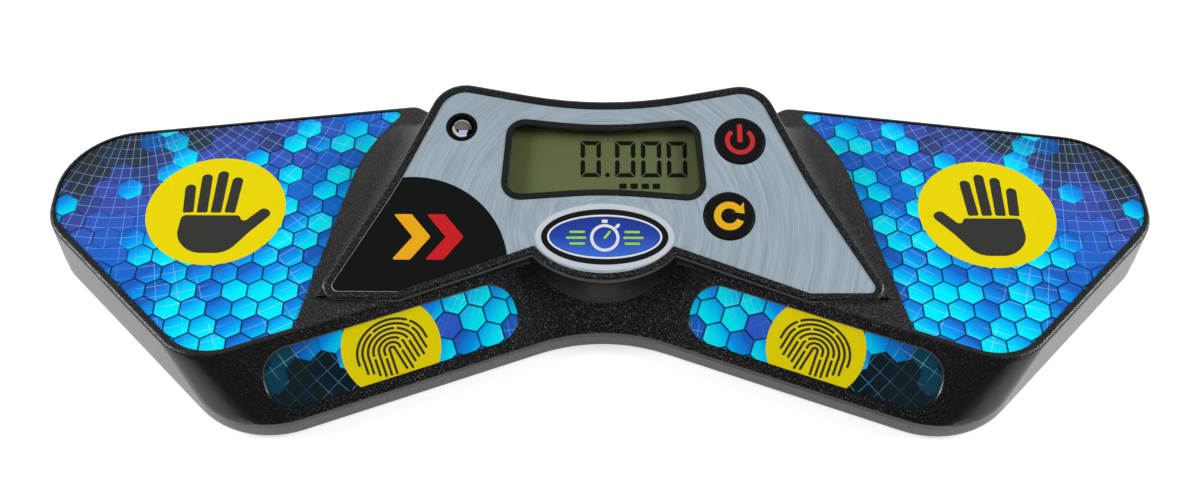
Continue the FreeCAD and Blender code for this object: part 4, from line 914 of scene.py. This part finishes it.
POWER_AT = (35.6, 0.0)
POWER_RING = (3.3, 138, 402)  # an arc, as those below: radius, and its ends in degrees
POWER_LINE = 1.25
POWER_BAR = (-0.66, -0.4, 0.66, 4.75, 0.3)
RESET_AT = (32.1, -21.2)
RESET_ARCS = ((2.1, 30, 338), (3.95, 338, 42))
RESET_HEAD = [(3.75, 3.9), (3.9, 0.62), (0.75, 1.15)]
LAMP_AT = (-37.0, 3.7)
LAMP_INNER = -1.05  # level of what shows inside the lamp
LAMP_BOWL = (2.5, -8, 188)
# White plates inside the lamp that are painted highlights: a thin glint arc and a crescent.
LAMP_PAINTED_GLINT = (2.2, 35, 145)
LAMP_PAINTED_GLINT_WIDTH = 0.16
LAMP_CRESCENT_HIGHLIGHT = ((MIDDLE, 2.55, 172, 300), ((0.36, 0.52), 2.33, 292, 178))
# outline of a pale violet painted reflection inside the lamp
LAMP_VIOLET_REFLECTION = [(-0.85, -0.55, 0.15), (1.75, -0.55, 0.1), (1.3, -1.55, 0.2), (0.35, -2.1, 0.1),
             (-0.65, -1.95, 0.1)]
DOOR_ARROW = (3.6, 5.4, 0.3)  # half its width, its length and its height
DOOR_ARROW_ROUND = 0.5
DOOR_ARROW_SINK = 0.02  # into the door


def button_signs():
    ring = stroke(arc(MIDDLE, *POWER_RING, 60), POWER_LINE)
    add_marks("power_sign", [ring, bar(*POWER_BAR)], POWER_AT, PANEL, BUTTON_TOP,
              ink("sign_red", (0.58, 0.028, 0.032), 0.3), "button_black", "power_key")
    arrow = []
    for bend in RESET_ARCS:
        arrow += arc(MIDDLE, *bend, 60)
    add_marks("reset_sign", [arrow + RESET_HEAD], RESET_AT, PANEL, BUTTON_TOP,
              ink("sign_amber", (0.86, 0.46, 0.012), 0.3), "button_black", "reset_key")


def lamp_part(name, outlines, layer, material):
    """Plates inside the clear lamp, on a layer above its inner level."""
    add_marks(name, outlines, LAMP_AT, PANEL, LAMP_INNER + layer * PRINT, material, "clear_window")


def lamp_inside():
    """Grey reflector inside the clear lamp, with a painted glint and a painted crescent highlight in white,
    and a small painted violet reflection.
    """
    crescent_highlight = []
    for bend in LAMP_CRESCENT_HIGHLIGHT:
        crescent_highlight += arc(*bend, 30)
    glint = stroke(arc(MIDDLE, *LAMP_PAINTED_GLINT, 24), LAMP_PAINTED_GLINT_WIDTH)
    lamp_part("lamp_reflector", [arc(MIDDLE, *LAMP_BOWL, 40)], 0,
              plain("reflector_grey", (0.17, 0.17, 0.135), 0.3))
    # Painted highlights: the white glint and crescent.
    lamp_part("lamp_painted_highlights", [glint, crescent_highlight], 1, plain("painted_highlight_white", (0.9, 0.9, 0.9), 0.3))
    # A painted reflection in pale violet.
    lamp_part("lamp_violet_reflection", [rounded(LAMP_VIOLET_REFLECTION)], 2, plain("violet_painted_reflection", (0.62, 0.52, 0.92), 0.3))


def door_arrow():
    """Raised arrowhead under the battery door, which shows the way it slides."""
    low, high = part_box("battery_door")
    middle = (low + high) / 2 / MM
    half, length, rise = DOOR_ARROW
    line = rounded([(x, y, DOOR_ARROW_ROUND) for x, y in
                    ((-half, -length / 2), (half, -length / 2), (0.0, length / 2))])
    line = moved(line, (middle.x, middle.y - DATUM_Y))
    mesh = flat_mesh("door_arrow", [line], PLAN, low.z / MM - rise, low.z / MM + DOOR_ARROW_SINK)
    add_piece("door_arrow", mesh, NODES["battery_door"].data.materials[0], "base_black", "door")


# ---- display

DIGIT_SIZE = (5.3, 10.3)
DIGIT_LOW = -9.1
DIGITS_AT = (-5.95, 3.05, 9.85, 16.6)  # left edges, on the panel
SEGMENT = 1.15
SEGMENT_GAP = 0.2
POINT_AT = (1.05, -8.5)
POINT_RADIUS = 0.62
SEGMENT_LIFT = 0.01  # over the LCD's face
PAD_MARKS_AT = (4.1, -12.4)  # one mark for each touch pad
PAD_MARK_LEFTS = (0.0, 2.9, 5.8, 8.7)
PAD_MARK = (1.9, 1.5)
PAD_MARK_ROUND = 0.25


def zero_outlines():
    """The six lit segments of a nought, with slanting ends."""
    wide, high = DIGIT_SIZE
    s, gap = SEGMENT, SEGMENT_GAP
    mid = high / 2
    level = [(gap, 0), (wide - gap, 0), (wide - s - gap, s), (s + gap, s)]
    upright = [(0, gap), (s, s + gap), (s, mid - s / 2 - gap), (s / 2, mid - gap), (0, mid - s / 2 - gap)]
    lines = [level, [(x, high - y) for x, y in level]]
    for flip_x in (False, True):
        for flip_y in (False, True):
            lines.append([(wide - x if flip_x else x, high - y if flip_y else y) for x, y in upright])
    return lines


def display_digits():
    dark = ink("lcd_segment", (0.006, 0.0085, 0.005), 0.45, 0.1)
    low = LCD_TOP + SEGMENT_LIFT
    for k, x in enumerate(DIGITS_AT):
        add_marks("lcd_digit_%d" % (k + 1), zero_outlines(), (x, DIGIT_LOW), PANEL, low, dark, "lcd_glass")
    point = circle(MIDDLE, POINT_RADIUS, 32)
    add_marks("lcd_point", [point], POINT_AT, PANEL, low, dark, "lcd_glass")
    wide, high = PAD_MARK
    marks = [bar(x, 0.0, x + wide, high, PAD_MARK_ROUND) for x in PAD_MARK_LEFTS]
    add_marks("lcd_pad_marks", marks, PAD_MARKS_AT, PANEL, low, dark, "lcd_glass")


# ---- CAD nodes

TAB_BARE = (0.7, -4.6, 30.5)  # circle on the panel without grain: x, y, radius
CASE_GLINT_FALLOFF = ((0.0, -25.0, 10.0), 50.0, 100.0)  # middle of the front, where the painted sparkle is whole, and distances from it over which it fades
# share of pale colour painted on level tops as sheen
CASE_TOP_SHEEN = 0.008
CASE_EDGE = 0.25  # widths of softened edges
PLATE_EDGE = 0.12
EDGE_TURN = math.radians(40)
WELD_GAP = 0.002
# Plain finishes: name, colour and roughness, and the nodes that have them.
PLASTICS = (
    ("lamp_tint", (0.10, 0.085, 0.10), 0.25, "status_light"),
    ("white_plastic", (0.70, 0.70, 0.68), 0.45, "display_holder", "power_plunger", "reset_plunger"),
    ("strip_rubber", (0.45, 0.18, 0.17), 0.6, "zebra_strips"),
    ("board_green", (0.012, 0.11, 0.04), 0.35, "main_board"),
    ("chip_black", (0.02, 0.02, 0.021), 0.5, "controller_chip", "power_switch", "reset_switch"),
    ("capacitor_sleeve", (0.015, 0.015, 0.05), 0.3, "capacitor"),
    ("lead_red", (0.42, 0.018, 0.018), 0.4, "pad_leads", "battery_leads", "jack_leads"),
    ("cell_jacket", (0.03, 0.035, 0.05), 0.3, "battery_cell_front", "battery_cell_back"))
METALS = (
    ("jack_chrome", (0.78, 0.78, 0.78), 0.15, "jack_sleeve"),
    ("socket_nickel", (0.70, 0.70, 0.69), 0.25, "mat_socket_left", "mat_socket_right"),
    ("screw_steel", (0.62, 0.62, 0.63), 0.35, "board_screws", "case_screws"),
    ("crystal_can", (0.70, 0.70, 0.70), 0.3, "crystal"),
    ("tinned_wire", (0.72, 0.72, 0.72), 0.3, "light_pins"),
    ("contact_steel", (0.72, 0.70, 0.66), 0.3, "contact_plates", "contact_springs"),
    ("copper_foil", (0.72, 0.36, 0.20), 0.35, "hand_electrode_left", "hand_electrode_right",
     "finger_electrode_left", "finger_electrode_right"))


def paint(material, *nodes):
    for name in nodes:
        mesh = NODES[name].data
        mesh.materials.clear()
        mesh.materials.append(material)


def paint_nodes():
    paint(film_print("hand_film", **HAND_FILM), "hand_overlay_left", "hand_overlay_right")
    paint(film_print("finger_film", **FINGER_FILM), "finger_overlay_left", "finger_overlay_right")
    paint(moulded("case_black", (0.0030, 0.0030, 0.0030), 0.24, painted_sparkle=0.44, grain=0.30, depth=0.09,
                  shine=0.55, bare=TAB_BARE, glint_falloff=CASE_GLINT_FALLOFF, top_sheen=CASE_TOP_SHEEN), "upper_case")
    paint(moulded("base_black", (0.082, 0.080, 0.076), 0.3, painted_sparkle=0.03, shine=0.65),
          "lower_case", "battery_door")
    paint(face_metal(), "face_plate")
    paint(lcd_face(), "lcd_panel")
    paint(clear_sheet("clear_window", 1.45), "display_window")
    paint(clear_sheet("lens_clear", 1.6, 0.02), "light_lens")
    paint(moulded("ring_black", (0.004, 0.004, 0.0045), 0.2, shine=0.12), "light_ring")
    paint(moulded("button_black", (0.0045, 0.0045, 0.005), 0.4, painted_sparkle=0.02, grain=0.3, depth=0.01,
                  shine=0.15), "power_button", "reset_button")
    paint(moulded("foot_rubber", (0.022, 0.022, 0.022), 0.75, painted_sparkle=0.03, grain=0.6, shine=0.25),
          "rubber_feet")
    paint(moulded("jack_black", (0.012, 0.012, 0.013), 0.35, painted_sparkle=0.02), "data_jack")


def paint_plain():
    for finishes, metallic in ((PLASTICS, 0.0), (METALS, 1.0)):
        for name, colour, roughness, *nodes in finishes:
            paint(plain(name, colour, roughness, metallic), *nodes)


def soften(width, *nodes):
    """Small round edges, of this width, that catch the light."""
    for name in nodes:
        node = NODES[name]
        weld = node.modifiers.new("weld", "WELD")
        weld.merge_threshold = WELD_GAP * MM
        bevel = node.modifiers.new("bevel", "BEVEL")
        bevel.width = width * MM
        bevel.segments = 3
        bevel.limit_method = "ANGLE"
        bevel.angle_limit = EDGE_TURN


# ---- floor, light and camera: lengths in metres

FLOOR_HALF = 4.0
FLOOR_FADE = (0.35, 1.0)  # distance from the timer over which the floor turns plain white
FLOOR_ALBEDO = 0.55
FLOOR_GLOW = 0.70
FLOOR_LEVEL = -0.1 * MM  # just below the feet
BACKDROP_LEVEL = 0.95
CEILING_LEVEL = 0.06
SKY_FADE = (0.02, 0.42)  # upward part of a direction over which the backdrop ends
# A lamp's place, the point it faces, its size and its radiance.
TOP_LIGHT = ((0.0, 0.12, 1.1), (0.0, 0.12, 0.0), (1.3, 0.85), 0.26)
BACK_LIGHT = ((0.0, 1.3, 0.78), (0.0, 0.0, 0.0), (1.4, 0.5), 1.5)
SIDE_LIGHTS = [((1.12 * side, 0.05, 0.66), (0.0, 0.0, 0.0), (0.5, 0.4), 20.7) for side in (-1, 1)]
CAMERA_AT = (-8.148, -248.302, 330.335)  # in millimetres
CAMERA_YAW = 0.027323  # to the right of straight back, in radians
CAMERA_PITCH = 0.903216  # below the horizon
CAMERA_ROLL = 0.025234
CAMERA_RANGE = (0.01, 20.0)
SENSOR = 36.0  # millimetres
PHOTO_WIDTH = 1196  # pixels
FOCAL_LENGTH = 1544.25  # pixels


def stage_material():
    """A pale floor that the camera and glossy surfaces see as white, with its shadow. Away
    from the timer the camera sees it plain white."""
    g = Graph("floor_white")
    path = g.node("LightPath").outputs
    seen = g.math("MAXIMUM", path["Is Camera Ray"],
                  g.math("MAXIMUM", path["Is Glossy Ray"], path["Is Transmission Ray"]))
    reach = g.vector("LENGTH", g.scaled(g.place(), MM))
    far = g.product(g.span(reach, *FLOOR_FADE), path["Is Camera Ray"])
    glow = g.product(seen, g.line(far, 1.0 - FLOOR_GLOW, FLOOR_GLOW))
    return g.finish(Base_Color=(FLOOR_ALBEDO,) * 3, Roughness=0.9, Specular_IOR_Level=0.0,
                    Emission_Color=(1.0, 1.0, 1.0), Emission_Strength=glow)


def floor():
    half = FLOOR_HALF
    corners = ((-half, -half), (half, -half), (half, half), (-half, half))
    mesh = bpy.data.meshes.new("floor")
    mesh.from_pydata([(x, y, FLOOR_LEVEL) for x, y in corners], [], [(0, 1, 2, 3)])
    mesh.materials.append(stage_material())
    plane = linked("floor", mesh)


def world():
    """A white backdrop that fades to a dim ceiling. The camera sees it plain white."""
    g = Graph("studio", "worlds")
    bpy.context.scene.world = g.owner
    rise = g.parts(g.node("TexCoord").outputs["Generated"])["Z"]
    fade = g.node("MapRange", {"Value": rise, "From Min": SKY_FADE[0], "From Max": SKY_FADE[1],
                               "To Min": BACKDROP_LEVEL, "To Max": CEILING_LEVEL},
                  interpolation_type="SMOOTHSTEP")
    seen = g.math("MAXIMUM", fade.outputs[0], g.node("LightPath").outputs["Is Camera Ray"])
    background = g.tree.nodes["Background"]
    g.put(background.inputs["Color"], (1.0, 1.0, 1.0))
    g.put(background.inputs["Strength"], seen)


def softbox(name, at, aim, size, radiance):
    """A rectangular lamp of this radiance that faces a point."""
    data = bpy.data.lights.new(name, "AREA")
    data.shape = "RECTANGLE"
    data.size, data.size_y = size
    data.energy = radiance * math.pi * size[0] * size[1]
    lamp = linked(name, data)
    lamp.location = at
    lamp.rotation_euler = (Vector(aim) - Vector(at)).to_track_quat("-Z", "Y").to_euler()


def studio():
    world()
    softbox("top_light", *TOP_LIGHT)
    softbox("back_light", *BACK_LIGHT)
    for light in SIDE_LIGHTS:
        softbox("side_light", *light)
    bpy.context.scene.view_settings.view_transform = "Standard"


def camera():
    """The camera that was solved from the photo."""
    data = bpy.data.cameras.new("camera")
    data.sensor_width = SENSOR
    data.lens = SENSOR * FOCAL_LENGTH / PHOTO_WIDTH
    data.clip_start, data.clip_end = CAMERA_RANGE
    eye = linked("camera", data)
    eye.matrix_world = (Matrix.Translation(Vector(CAMERA_AT) * MM) @ Matrix.Rotation(-CAMERA_YAW, 4, "Z")
                        @ Matrix.Rotation(math.pi / 2 - CAMERA_PITCH, 4, "X")
                        @ Matrix.Rotation(CAMERA_ROLL, 4, "Z"))
    bpy.context.scene.camera = eye


paint_nodes()
paint_plain()
soften(CASE_EDGE, "upper_case", "lower_case", "light_ring", "power_button", "reset_button")
soften(PLATE_EDGE, "face_plate")
touch_discs()
corner_print()
badge()
button_signs()
lamp_inside()
film_edges()
door_arrow()
display_digits()
floor()
studio()
camera()
